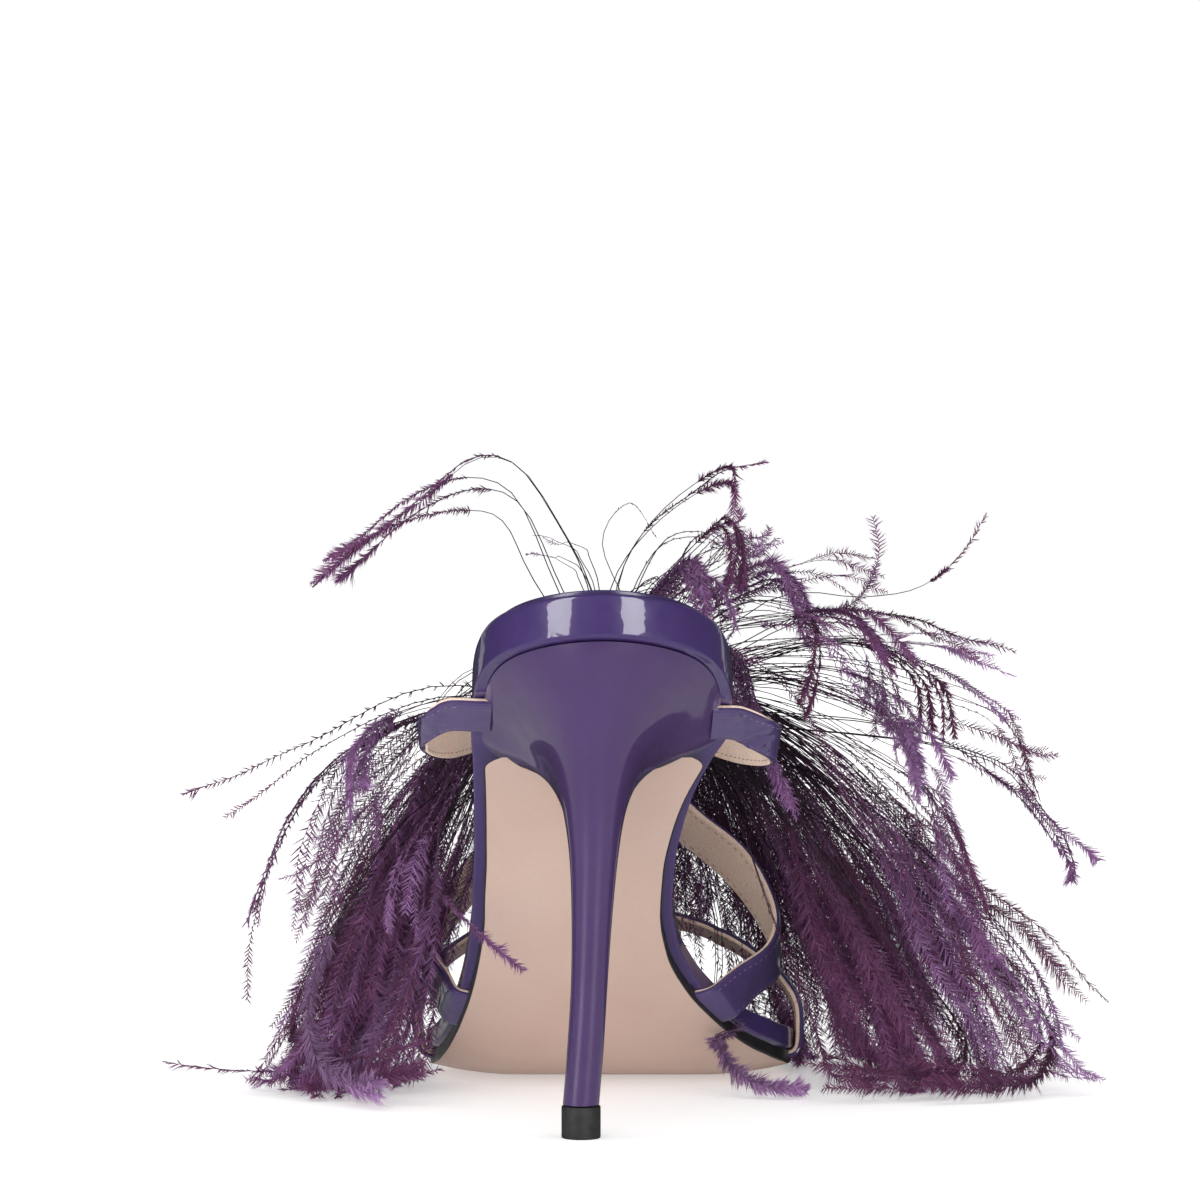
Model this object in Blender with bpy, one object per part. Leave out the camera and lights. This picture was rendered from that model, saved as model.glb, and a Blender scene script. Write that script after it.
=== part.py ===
"""Strappy stiletto mule in patent leather with an ostrich feather bunch, left shoe.

Frame: the origin is the centre of the heel tip's face on the floor, +Y points to the toe,
+X to the inner (big toe) side and +Z up. All sizes are in metres.
"""
from collections import namedtuple
from math import cos, pi, radians, sin

import bmesh
import bpy
import numpy as np
from mathutils import Matrix

# Driving sizes of the shoe
SHOE_REACH = 0.202
SEAT_OVERHANG = 0.020
HEEL_HEIGHT = 0.107
SEAT_WIDTH = 0.0554
WAIST_WIDTH = 0.0438
BALL_WIDTH = 0.0826
SEAT_ROUND = 0.040
TOE_ROUND = 0.058
CLEARANCE = 0.0003

# Layers under the foot
OUTSOLE_THICKNESS = 0.0028
SEAT_RIM = 0.0092
FORE_RIM = 0.0046
RIM_EDGE_ROUND = 0.0009
SOCK_THICKNESS = 0.0011
SOCK_INSET = 0.0024
WAIST_INSET = 0.0024
FORE_INSET = 0.0008
BALL_EDGE_LIFT = 0.0030
FLAT_SHARE = 0.50

# Heel and its top-lift
BREAST_REACH = 0.036
STEM_WIDTH = 0.0077
STEM_DEPTH = 0.0095
TOP_LIFT_HEIGHT = 0.0068
TOP_LIFT_FLARE = 0.0003

# Straps
STRAP_WIDTH = 0.0124
STRAP_THICKNESS = 0.0018
TONGUE_DEPTH = 0.0030
TONGUE_OUTREACH = 0.0022
POCKET_REACH = 0.0060

# Feather bunch
FEATHER_SPREAD = 0.107
LOCK_WIDTH = 0.016
LOCK_THICKNESS = 0.0075
KNOT_RADIUS = 0.0048
KNOT_SPACING = 0.0054
PLUME_STANDOFF = 0.010

# Mesh steps
ACROSS_STEPS = 6
ALONG_STEPS = 24
END_STEPS = 8
HEEL_PAIRS = 13
HEEL_RINGS = 22
STRAP_STEPS = 34
LOCK_STEPS = 8
LOCK_SIDES = 6

FORE_STACK = OUTSOLE_THICKNESS + CLEARANCE
SEAT_BACK = -SEAT_OVERHANG
TOE_TIP = SEAT_BACK + SHOE_REACH

# The footbed's underside along the shoe: rise is a share of the heel height, rim runs from
# 1 at the seat's full rim to 0 at the forefoot's, lift is a share of the ball's edge lift.
Profile = namedtuple("Profile", "along rise rim lift")
PROFILE = (
    Profile(0.000, 1.0000, 1.00, 0.0),
    Profile(0.099, 0.9326, 1.00, 0.0),
    Profile(0.149, 0.8845, 0.96, 0.0),
    Profile(0.198, 0.8268, 0.88, 0.0),
    Profile(0.248, 0.7594, 0.76, 0.0),
    Profile(0.277, 0.7141, 0.68, 0.0),
    Profile(0.317, 0.6470, 0.56, 0.0),
    Profile(0.356, 0.5698, 0.46, 0.0),
    Profile(0.389, 0.4966, 0.38, 0.0),
    Profile(0.426, 0.4090, 0.32, 0.0),
    Profile(0.463, 0.3215, 0.26, 0.1),
    Profile(0.495, 0.2480, 0.22, 0.3),
    Profile(0.535, 0.1650, 0.18, 0.6),
    Profile(0.574, 0.0960, 0.14, 0.9),
    Profile(0.614, 0.0465, 0.10, 1.0),
    Profile(0.663, 0.0144, 0.06, 1.0),
    Profile(0.713, 0.0019, 0.04, 0.9),
    Profile(0.748, 0.0000, 0.02, 0.7),
    Profile(0.851, 0.0000, 0.00, 0.4),
    Profile(0.916, 0.0135, 0.00, 0.3),
    Profile(1.000, 0.0529, 0.00, 0.2),
)

# The footbed's outline: full width and the place of its middle across the shoe.
Outline = namedtuple("Outline", "along width middle")
OUTLINE = (
    Outline(0.000, SEAT_WIDTH, 0.083 * SEAT_WIDTH),
    Outline(0.198, SEAT_WIDTH, 0.081 * SEAT_WIDTH),
    Outline(0.238, 0.997 * SEAT_WIDTH, 0.072 * SEAT_WIDTH),
    Outline(0.277, 0.931 * SEAT_WIDTH, 0.043 * SEAT_WIDTH),
    Outline(0.317, 1.098 * WAIST_WIDTH, 0.017 * WAIST_WIDTH),
    Outline(0.356, 1.039 * WAIST_WIDTH, -0.013 * WAIST_WIDTH),
    Outline(0.396, 1.002 * WAIST_WIDTH, -0.035 * WAIST_WIDTH),
    Outline(0.436, WAIST_WIDTH, -0.046 * WAIST_WIDTH),
    Outline(0.475, 1.050 * WAIST_WIDTH, -0.041 * WAIST_WIDTH),
    Outline(0.515, 0.620 * BALL_WIDTH, -0.007 * BALL_WIDTH),
    Outline(0.554, 0.708 * BALL_WIDTH, 0.015 * BALL_WIDTH),
    Outline(0.594, 0.811 * BALL_WIDTH, 0.040 * BALL_WIDTH),
    Outline(0.634, 0.913 * BALL_WIDTH, 0.064 * BALL_WIDTH),
    Outline(0.673, 0.976 * BALL_WIDTH, 0.076 * BALL_WIDTH),
    Outline(0.713, BALL_WIDTH, 0.076 * BALL_WIDTH),
    Outline(1.000, BALL_WIDTH, 0.116 * BALL_WIDTH),
)

# The heel from its seat down: drops are shares of the way from the seat to the top-lift at
# the back and at the breast, spreads run from 1 at the seat's outline to 0 at the stem's.
Level = namedtuple("Level", "back_drop back_spread breast_drop breast_spread width_spread lean")
HEEL_LEVELS = (
    Level(0.000, 1.000, 0.000, 1.000, 1.000, 1.00),
    Level(0.037, 0.960, 0.022, 0.930, 0.870, 0.93),
    Level(0.100, 0.800, 0.045, 0.770, 0.590, 0.82),
    Level(0.173, 0.570, 0.078, 0.550, 0.350, 0.72),
    Level(0.258, 0.370, 0.122, 0.345, 0.206, 0.66),
    Level(0.348, 0.220, 0.192, 0.186, 0.117, 0.62),
    Level(0.459, 0.105, 0.310, 0.090, 0.056, 0.59),
    Level(0.589, 0.035, 0.470, 0.034, 0.020, 0.50),
    Level(0.730, 0.005, 0.640, 0.008, 0.000, 0.39),
    Level(0.870, 0.000, 0.820, 0.000, 0.000, 0.22),
    Level(1.000, 0.000, 1.000, 0.000, 0.000, 0.00),
)

# Straps: each row holds its back edge and its front edge, across as shares of the ball width,
# along as shares of the reach from the seat's back, up as shares of the heel height.
Fold = namedtuple("Fold", "back front")
Root = namedtuple("Root", "side back_along front_along")
OUTER_TO_INNER_STRAP = (
    Root(-1, 0.163, 0.231),
    Fold((-0.350, 0.168, 0.868), (-0.340, 0.238, 0.782)),
    Fold((-0.404, 0.193, 0.842), (-0.401, 0.272, 0.745)),
    Fold((-0.416, 0.252, 0.822), (-0.409, 0.317, 0.720)),
    Fold((-0.370, 0.345, 0.820), (-0.352, 0.376, 0.708)),
    Fold((-0.220, 0.450, 0.826), (-0.245, 0.482, 0.720)),
    Fold((-0.040, 0.550, 0.798), (-0.120, 0.580, 0.730)),
    Fold((0.120, 0.612, 0.744), (0.004, 0.640, 0.694)),
    Fold((0.298, 0.680, 0.578), (0.225, 0.728, 0.520)),
    Fold((0.448, 0.690, 0.482), (0.400, 0.736, 0.404)),
    Fold((0.528, 0.669, 0.364), (0.510, 0.716, 0.290)),
    Fold((0.510, 0.624, 0.296), (0.535, 0.672, 0.216)),
    Fold((0.418, 0.572, 0.250), (0.462, 0.614, 0.186)),
    Root(1, 0.521, 0.574),
)
INNER_TO_OUTER_STRAP = (
    Root(1, 0.176, 0.243),
    Fold((0.418, 0.190, 0.846), (0.392, 0.252, 0.760)),
    Fold((0.486, 0.222, 0.822), (0.462, 0.282, 0.728)),
    Fold((0.516, 0.284, 0.800), (0.498, 0.328, 0.702)),
    Fold((0.440, 0.376, 0.806), (0.420, 0.406, 0.694)),
    Fold((0.300, 0.462, 0.818), (0.312, 0.496, 0.712)),
    Fold((0.150, 0.550, 0.806), (0.214, 0.582, 0.730)),
    Fold((0.010, 0.618, 0.756), (0.116, 0.646, 0.706)),
    Fold((-0.160, 0.680, 0.590), (-0.094, 0.728, 0.530)),
    Fold((-0.320, 0.682, 0.455), (-0.285, 0.730, 0.378)),
    Fold((-0.408, 0.648, 0.345), (-0.398, 0.694, 0.266)),
    Fold((-0.412, 0.608, 0.286), (-0.424, 0.652, 0.204)),
    Fold((-0.362, 0.566, 0.236), (-0.388, 0.606, 0.170)),
    Root(-1, 0.524, 0.577),
)
TOE_STRAP = (
    Root(-1, 0.690, 0.752),
    Fold((-0.452, 0.700, 0.092), (-0.446, 0.762, 0.088)),
    Fold((-0.458, 0.718, 0.152), (-0.448, 0.778, 0.140)),
    Fold((-0.400, 0.744, 0.236), (-0.388, 0.800, 0.214)),
    Fold((-0.230, 0.764, 0.316), (-0.222, 0.820, 0.284)),
    Fold((0.040, 0.776, 0.346), (0.044, 0.834, 0.312)),
    Fold((0.300, 0.766, 0.320), (0.296, 0.824, 0.290)),
    Fold((0.480, 0.744, 0.252), (0.470, 0.802, 0.226)),
    Fold((0.582, 0.716, 0.170), (0.576, 0.776, 0.152)),
    Fold((0.594, 0.700, 0.104), (0.592, 0.762, 0.096)),
    Root(1, 0.690, 0.752),
)

# Plumes: tips as shares of the feather spread, the reach and the heel height, arches as shares
# of the heel height and size as a share of the lock width.
Plume = namedtuple("Plume", "across along up root_arch tip_arch size")
OUTER_PLUMES = (
    Plume(-0.86, 0.640, 0.560, 0.24, 0.14, 0.50),
    Plume(-0.84, 0.600, 0.050, 0.26, 0.34, 0.55),
    Plume(-0.62, 0.580, 0.035, 0.22, 0.44, 1.20),
    Plume(-0.55, 0.500, 0.030, 0.26, 0.50, 1.20),
    Plume(-0.47, 0.425, 0.030, 0.30, 0.50, 0.90),
    Plume(-0.66, 0.670, 0.035, 0.14, 0.44, 1.20),
    Plume(-0.58, 0.770, 0.035, 0.10, 0.44, 1.20),
    Plume(-0.50, 0.870, 0.040, 0.06, 0.44, 1.00),
)
INNER_PLUMES = (
    Plume(0.86, 0.600, 0.840, 0.16, 0.02, 0.50),
    Plume(1.00, 0.640, 0.600, 0.16, 0.12, 0.60),
    Plume(1.07, 0.640, 0.380, 0.14, 0.24, 0.55),
    Plume(0.96, 0.620, 0.035, 0.16, 0.42, 1.25),
    Plume(0.84, 0.560, 0.030, 0.20, 0.46, 1.25),
    Plume(0.72, 0.500, 0.030, 0.24, 0.48, 1.20),
    Plume(0.90, 0.710, 0.035, 0.10, 0.44, 1.25),
    Plume(0.78, 0.790, 0.035, 0.06, 0.46, 1.20),
    Plume(0.66, 0.870, 0.040, 0.04, 0.46, 1.00),
)
CREST_PLUMES = (
    Plume(-0.56, 0.600, 1.050, 0.62, 0.26, 0.50),
    Plume(-0.24, 0.560, 1.280, 0.36, 0.04, 0.45),
    Plume(0.08, 0.540, 1.220, 0.30, 0.02, 0.45),
    Plume(0.38, 0.590, 1.270, 0.30, 0.02, 0.55),
    Plume(0.60, 0.600, 1.170, 0.34, 0.06, 0.60),
    Plume(0.88, 0.610, 1.180, 0.30, 0.02, 0.45),
    Plume(0.66, 0.600, 0.930, 0.26, 0.06, 0.80),
    Plume(-0.18, 0.920, 0.180, 0.38, 0.42, 1.00),
    Plume(0.12, 0.950, 0.190, 0.42, 0.44, 1.10),
    Plume(0.40, 0.920, 0.180, 0.40, 0.42, 1.00),
)
# How a plume widens along its length, as shares of its full width.
Swell = namedtuple("Swell", "along width")
PLUME_SWELL = (Swell(0.00, 0.30), Swell(0.25, 0.48), Swell(0.50, 0.80), Swell(0.80, 1.00),
               Swell(0.93, 0.75), Swell(1.00, 0.14))


def clear_scene():
    for item in list(bpy.data.objects):
        bpy.data.objects.remove(item, do_unlink=True)


def monotone(keys, values, place):
    """Read a curve through rows without overshoot, so that level stretches stay level."""
    keys = np.asarray(keys, float)
    values = np.asarray(values, float)
    steps = np.diff(keys)
    slopes = np.diff(values) / steps
    tangents = np.zeros(len(keys))
    tangents[0], tangents[-1] = slopes[0], slopes[-1]
    for i in range(1, len(keys) - 1):
        if slopes[i - 1] * slopes[i] > 0:
            before = 2 * steps[i] + steps[i - 1]
            after = steps[i] + 2 * steps[i - 1]
            tangents[i] = (before + after) / (before / slopes[i - 1] + after / slopes[i])
    place = min(max(place, keys[0]), keys[-1])
    i = min(int(np.searchsorted(keys, place, side="right")) - 1, len(steps) - 1)
    t = (place - keys[i]) / steps[i]
    return ((1 + 2 * t) * (1 - t) ** 2 * values[i] + t * (1 - t) ** 2 * steps[i] * tangents[i]
            + t * t * (3 - 2 * t) * values[i + 1] - t * t * (1 - t) * steps[i] * tangents[i + 1])


def column(table, name, place):
    return monotone([row.along for row in table], [getattr(row, name) for row in table], place)


def spline(points, count):
    """Sample a smooth open curve through the points, evenly by row."""
    points = np.asarray(points, float)
    padded = np.vstack([2 * points[0] - points[1], points, 2 * points[-1] - points[-2]])
    samples = []
    for k in range(count + 1):
        place = k / count * (len(points) - 1)
        i = min(int(place), len(points) - 2)
        t = place - i
        a, b, c, d = padded[i:i + 4]
        samples.append(0.5 * (2 * b + (c - a) * t + (2 * a - 5 * b + 4 * c - d) * t ** 2
                              + (3 * b - 3 * c + d - a) * t ** 3))
    return np.array(samples)


def make_material(name, color, roughness, metallic=0.0):
    material = bpy.data.materials.new(name)
    material.use_nodes = True
    shader = material.node_tree.nodes["Principled BSDF"]
    shader.inputs["Base Color"].default_value = (*color, 1.0)
    shader.inputs["Roughness"].default_value = roughness
    shader.inputs["Metallic"].default_value = metallic
    return material


def add_object(name, mesh, material, sharp_degrees=35):
    body = bpy.data.objects.new(name, mesh)
    bpy.context.scene.collection.objects.link(body)
    if material:
        mesh.materials.append(material)
    mesh.shade_smooth()
    mesh.set_sharp_from_angle(angle=radians(sharp_degrees))
    return body


def loft(name, rings, caps="fan"):
    """Skin a closed body over rings of equal count; paired caps run straight across.

    Each cell is split along the same way across the shoe, so that layers fold alike.
    """
    builder = bmesh.new()
    rows = [[builder.verts.new(point) for point in ring] for ring in rings]
    count = len(rows[0])
    for lower, upper in zip(rows, rows[1:]):
        for i in range(count):
            j = (i + 1) % count
            if lower[i].co.x <= lower[j].co.x:
                builder.faces.new((lower[i], lower[j], upper[j]))
                builder.faces.new((lower[i], upper[j], upper[i]))
            else:
                builder.faces.new((lower[i], lower[j], upper[i]))
                builder.faces.new((lower[j], upper[j], upper[i]))
    for row in (rows[0], rows[-1]):
        if caps == "pairs":
            half = count // 2
            for i in range(half - 1):
                builder.faces.new((row[i], row[i + 1], row[count - 2 - i], row[count - 1 - i]))
        else:
            builder.faces.new(row)
    bmesh.ops.recalc_face_normals(builder, faces=builder.faces[:])
    mesh = bpy.data.meshes.new(name)
    builder.to_mesh(mesh)
    builder.free()
    return mesh


# Sole surfaces

def base_height(y):
    rise = column(PROFILE, "rise", (y - SEAT_BACK) / SHOE_REACH)
    return FORE_STACK + rise * (HEEL_HEIGHT - FORE_STACK)


def base_normal(y):
    reach = 0.0004
    slope = (base_height(y + reach) - base_height(y - reach)) / (2 * reach)
    length = (1 + slope * slope) ** 0.5
    return -slope / length, 1 / length


def half_width(y, inset=0.0):
    """Half the footbed's width at y, with rounded ends, drawn in by an even inset."""
    half = column(OUTLINE, "width", (y - SEAT_BACK) / SHOE_REACH) / 2 - inset
    seat_gap = (SEAT_BACK + SEAT_ROUND - y) / (SEAT_ROUND - inset)
    toe_gap = (y - TOE_TIP + TOE_ROUND) / (TOE_ROUND - inset)
    gap = min(max(seat_gap, toe_gap, 0.0), 0.9985)
    return half * (1 - gap * gap) ** 0.5


def middle(y):
    return column(OUTLINE, "middle", (y - SEAT_BACK) / SHOE_REACH)


def rim_height(y):
    share = column(PROFILE, "rim", (y - SEAT_BACK) / SHOE_REACH)
    return FORE_RIM + share * (SEAT_RIM - FORE_RIM)


def sole_point(y, x_offset, height):
    """The place at x_offset from the middle line and at a height above the footbed's base."""
    across = min(abs(x_offset) / half_width(y), 1.0)
    outer = max(across - FLAT_SHARE, 0.0) / (1 - FLAT_SHARE)
    lift = column(PROFILE, "lift", (y - SEAT_BACK) / SHOE_REACH) * BALL_EDGE_LIFT * outer ** 2
    normal_y, normal_z = base_normal(y)
    return (middle(y) + x_offset, y + normal_y * height, base_height(y) + normal_z * height + lift)


def stations(start, end, inset):
    """Places along the shoe, closer together on rounded ends."""
    places = []
    seat_end = SEAT_BACK + SEAT_ROUND
    toe_start = TOE_TIP - TOE_ROUND
    if start < SEAT_BACK + SEAT_ROUND / 2:
        for k in range(END_STEPS):
            angle = pi / 2 * (k + 0.35) / END_STEPS
            places.append(seat_end - (SEAT_ROUND - inset) * cos(angle))
        start = seat_end
    places.extend(np.linspace(start, toe_start, ALONG_STEPS + 1)[:-1])
    for k in range(END_STEPS + 1):
        angle = pi / 2 * min(k / END_STEPS, 0.965)
        places.append(toe_start + (end - inset - toe_start) * sin(angle))
    return places


def slab_ring(y, low, high, inset, edge_round):
    """One section across a sole layer; its side bulges between two eased edges."""
    half = half_width(y, inset)
    flat = half - min(edge_round, 0.4 * half)
    offsets = np.linspace(-flat, flat, ACROSS_STEPS + 1)
    shared = np.linspace(-1, 1, ACROSS_STEPS + 1)[1:-1] * half_width(y)
    if shared[-1] < 0.9 * flat:
        offsets[1:-1] = shared
    depth = high - low
    ring = [sole_point(y, x, low) for x in offsets]
    if edge_round:
        ring += [sole_point(y, half, low + share * depth) for share in (0.22, 0.78)]
    ring += [sole_point(y, x, high) for x in offsets[::-1]]
    if edge_round:
        ring += [sole_point(y, -half, low + share * depth) for share in (0.78, 0.22)]
    return ring


def outsole_inset(y):
    """The outsole stands in under the waist and comes out almost flush at the ball."""
    share = min(max((y - SEAT_BACK) / SHOE_REACH / 0.62 - 0.70, 0.0) / 0.30, 1.0)
    share = share * share * (3 - 2 * share)
    return WAIST_INSET + share * (FORE_INSET - WAIST_INSET)


def make_footbed(material):
    rings = [slab_ring(y, 0.0, rim_height(y), 0.0, RIM_EDGE_ROUND)
             for y in stations(SEAT_BACK, TOE_TIP, 0.0)]
    return add_object("insole_platform", loft("insole_platform", rings), material)


def make_sock(material):
    rings = []
    for y in stations(SEAT_BACK, TOE_TIP, SOCK_INSET):
        low = rim_height(y) + CLEARANCE
        rings.append(slab_ring(y, low, low + SOCK_THICKNESS, SOCK_INSET, 0.0))
    return add_object("insole_sock", loft("insole_sock", rings), material)


def make_outsole(material):
    rings = []
    for y in stations(BREAST_REACH + CLEARANCE, TOE_TIP, FORE_INSET):
        rings.append(slab_ring(y, -CLEARANCE - OUTSOLE_THICKNESS, -CLEARANCE, outsole_inset(y), 0.0))
    return add_object("outsole", loft("outsole", rings), material)


# Heel

def heel_ring(level, pair_count):
    """One ring of the heel as pairs of points, from its back to its breast and back again."""
    seat_start = SEAT_BACK + WAIST_INSET
    stem_foot = TOP_LIFT_HEIGHT + CLEARANCE
    top_gap = -CLEARANCE
    back_y = -STEM_DEPTH / 2 + level.back_spread * (seat_start + STEM_DEPTH / 2)
    breast_y = STEM_DEPTH / 2 + level.breast_spread * (BREAST_REACH - STEM_DEPTH / 2)
    top_back = sole_point(seat_start, 0.0, top_gap)[2]
    top_breast = sole_point(BREAST_REACH, 0.0, top_gap)[2]
    back_z = top_back + level.back_drop * (stem_foot - top_back)
    breast_z = top_breast + level.breast_drop * (stem_foot - top_breast)
    right, left = [], []
    for k in range(pair_count + 1):
        angle = pi * (0.05 + 0.90 * k / pair_count)
        share = (1 - cos(angle)) / 2
        seat_y = seat_start + share * (BREAST_REACH - seat_start)
        seat_half = half_width(seat_y, WAIST_INSET)
        stem_half = STEM_WIDTH / 2 * sin(angle)
        half = stem_half + level.width_spread * (seat_half - stem_half)
        centre = level.lean * middle(seat_y)
        seat_place = sole_point(seat_y, 0.0, top_gap)
        follow = level.width_spread
        line_y = back_y + share * (breast_y - back_y)
        line_z = back_z + share * (breast_z - back_z)
        seat_line_z = top_back + share * (top_breast - top_back)
        bow = (seat_place[2] - seat_line_z) * follow
        shift = (seat_place[1] - seat_y) * follow
        right.append((centre + half, line_y + shift, line_z + bow))
        left.append((centre - half, line_y + shift, line_z + bow))
    return right + left[::-1]


def make_heel(material):
    rows = spline([list(level) for level in HEEL_LEVELS], HEEL_RINGS)
    levels = [Level(*row) for row in rows]
    rings = [heel_ring(level, HEEL_PAIRS) for level in levels]
    return add_object("heel", loft("heel", rings, caps="pairs"), material)


def make_top_lift(material):
    rings = []
    for height in (TOP_LIFT_HEIGHT, TOP_LIFT_HEIGHT / 2, 0.0):
        ring = heel_ring(HEEL_LEVELS[-1], HEEL_PAIRS)
        grow = 1 + TOP_LIFT_FLARE / STEM_WIDTH * 2
        rings.append([(x * grow, y * grow, height) for x, y, _ in ring])
    return add_object("top_lift", loft("top_lift", rings, caps="pairs"), material)


# Straps

def share_point(place):
    across, along, up = place
    return np.array((across * BALL_WIDTH, SEAT_BACK + along * SHOE_REACH, up * HEEL_HEIGHT))


def root_rows(root, thickness):
    """The tongue of a strap under the footbed, from its end to just outside the edge."""
    rows = []
    for depth in (TONGUE_DEPTH, 0.0, -TONGUE_OUTREACH):
        edges = []
        for along in (root.back_along, root.front_along):
            y = SEAT_BACK + along * SHOE_REACH
            offset = root.side * (half_width(y) - RIM_EDGE_ROUND - depth)
            edges.append(np.array(sole_point(y, offset, -CLEARANCE - thickness / 2)))
        rows.append(edges)
    return rows


def strap_edges(table):
    """Both edges of a strap as smooth curves, with the tongues at its two ends."""
    rows = []
    for number, row in enumerate(table):
        if isinstance(row, Root):
            tongue = root_rows(row, STRAP_THICKNESS)
            rows.extend(tongue if number == 0 else tongue[::-1])
        else:
            rows.append([share_point(row.back), share_point(row.front)])
    count = STRAP_STEPS
    return spline([row[0] for row in rows], count), spline([row[1] for row in rows], count)


def strap_rings(table):
    """Eight-sided flat sections along a strap."""
    back, front = strap_edges(table)
    centres = (back + front) / 2
    widths = front - back
    widths /= np.linalg.norm(widths, axis=1)[:, None]
    tangents = np.gradient(centres, axis=0)
    normals = np.cross(tangents, widths)
    normals /= np.linalg.norm(normals, axis=1)[:, None]
    half, skin = STRAP_WIDTH / 2, STRAP_THICKNESS / 2
    eased = skin * 0.45
    section = ((-half + eased, -skin), (half - eased, -skin), (half, -eased), (half, eased),
               (half - eased, skin), (-half + eased, skin), (-half, eased), (-half, -eased))
    return [[centre + widths[k] * a + normals[k] * b for a, b in section]
            for k, centre in enumerate(centres)]


def boolean(target, operand, operation, solver="EXACT"):
    """Cut or join with a hidden operand."""
    operand.hide_render = True
    operand.display_type = "WIRE"
    modifier = target.modifiers.new(operation.lower(), "BOOLEAN")
    modifier.operation = operation
    modifier.solver = solver
    modifier.object = operand


def make_cross_straps(material):
    """Both long straps as one body, fused where they cross over the instep."""
    lower = loft("cross_straps", strap_rings(OUTER_TO_INNER_STRAP))
    upper = loft("cross_strap_upper", strap_rings(INNER_TO_OUTER_STRAP))
    straps = add_object("cross_straps", lower, material)
    boolean(straps, add_object("cross_strap_upper", upper, None), "UNION")
    return straps


def make_toe_strap(material):
    return add_object("toe_strap", loft("toe_strap", strap_rings(TOE_STRAP)), material)


def make_pocket(root, name):
    """The room for one strap's tongue, open at the sole's edge."""
    depth = TONGUE_DEPTH + CLEARANCE
    margin = 1.6 * CLEARANCE / SHOE_REACH
    rings = []
    for offset_step in (depth, -POCKET_REACH):
        ring = []
        back, front = root.back_along - margin, root.front_along + margin
        floor = -STRAP_THICKNESS - 2 * CLEARANCE
        for along, height in ((back, CLEARANCE), (front, CLEARANCE), (front, floor), (back, floor)):
            y = SEAT_BACK + along * SHOE_REACH
            offset = root.side * (half_width(y) - RIM_EDGE_ROUND - offset_step)
            ring.append(sole_point(y, offset, height))
        rings.append(ring)
    return add_object(name, loft(name, rings), None)


# Feathers

def plume_rings(plume, root, outward, side_step):
    """One tapered plume along a curve from the bunch's root to its tip."""
    tip = np.array((plume.across * FEATHER_SPREAD, SEAT_BACK + plume.along * SHOE_REACH,
                    plume.up * HEEL_HEIGHT))
    away = tip - root
    away[2] = 0.0
    up = np.array((0.0, 0.0, HEEL_HEIGHT))
    start_bend = root + 0.38 * away + plume.root_arch * up + outward * PLUME_STANDOFF
    end_bend = tip - 0.16 * away + plume.tip_arch * up
    rings = []
    for k in range(LOCK_STEPS + 1):
        t = k / LOCK_STEPS
        centre = ((1 - t) ** 3 * root + 3 * t * (1 - t) ** 2 * start_bend
                  + 3 * t * t * (1 - t) * end_bend + t ** 3 * tip)
        tangent = (3 * (1 - t) ** 2 * (start_bend - root) + 6 * t * (1 - t) * (end_bend - start_bend)
                   + 3 * t * t * (tip - end_bend))
        tangent /= np.linalg.norm(tangent)
        flat = np.cross(tangent, (0.0, 1.0, 0.0))
        flat /= np.linalg.norm(flat)
        thin = np.cross(tangent, flat)
        taper = column(PLUME_SWELL, "width", t) * plume.size
        wide = LOCK_WIDTH / 2 * taper
        deep = LOCK_THICKNESS / 2 * taper
        rings.append([centre + flat * wide * cos(angle + side_step) + thin * deep * sin(angle + side_step)
                      for angle in np.linspace(0, 2 * pi, LOCK_SIDES, endpoint=False)])
    return rings


def strap_crossing():
    """The top of the straps' crossing, the way out of it, across the shoe and uphill."""
    first = np.mean(strap_edges(OUTER_TO_INNER_STRAP), axis=0)
    second = np.mean(strap_edges(INNER_TO_OUTER_STRAP), axis=0)
    gaps = np.linalg.norm(first[:, None] - second[None], axis=2)
    i, j = np.unravel_index(np.argmin(gaps), gaps.shape)
    outward = np.cross(first[i + 1] - first[i - 1], second[j + 1] - second[j - 1])
    outward /= np.linalg.norm(outward)
    inner_side = np.cross(outward, (0.0, -1.0, 1.0))
    inner_side /= np.linalg.norm(inner_side)
    if inner_side[0] < 0:
        inner_side = -inner_side
    uphill = np.cross(inner_side, outward)
    uphill *= 1 if uphill[2] > 0 else -1
    outward *= np.sign(outward[2])
    top = (first[i] + second[j]) / 2 + outward * (gaps[i, j] + STRAP_THICKNESS) / 2
    return top, outward, inner_side, uphill


def knot_places():
    """The places of the outer, inner and crest knots, resting on the crossed straps."""
    top, outward, inner_side, uphill = strap_crossing()
    seat = top + outward * (CLEARANCE + KNOT_RADIUS)
    crest = seat + (uphill + 0.1 * outward) * 1.74 * KNOT_RADIUS
    return seat - inner_side * KNOT_SPACING, seat + inner_side * KNOT_SPACING, crest


def make_spray(name, plumes, root, outward, material):
    """A sheaf of plumes fused into the knot that binds their roots."""
    builder = bmesh.new()
    bmesh.ops.create_icosphere(builder, subdivisions=2, radius=KNOT_RADIUS,
                               matrix=Matrix.Translation(root.tolist()))
    mesh = bpy.data.meshes.new(name)
    builder.to_mesh(mesh)
    builder.free()
    first = add_object(name, mesh, material)
    for number, plume in enumerate(plumes):
        label = f"{name}_plume_{number}"
        lock = add_object(label, loft(label, plume_rings(plume, root, outward, 0.21 * number)), None)
        boolean(first, lock, "UNION", "MANIFOLD")
    return first


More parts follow.
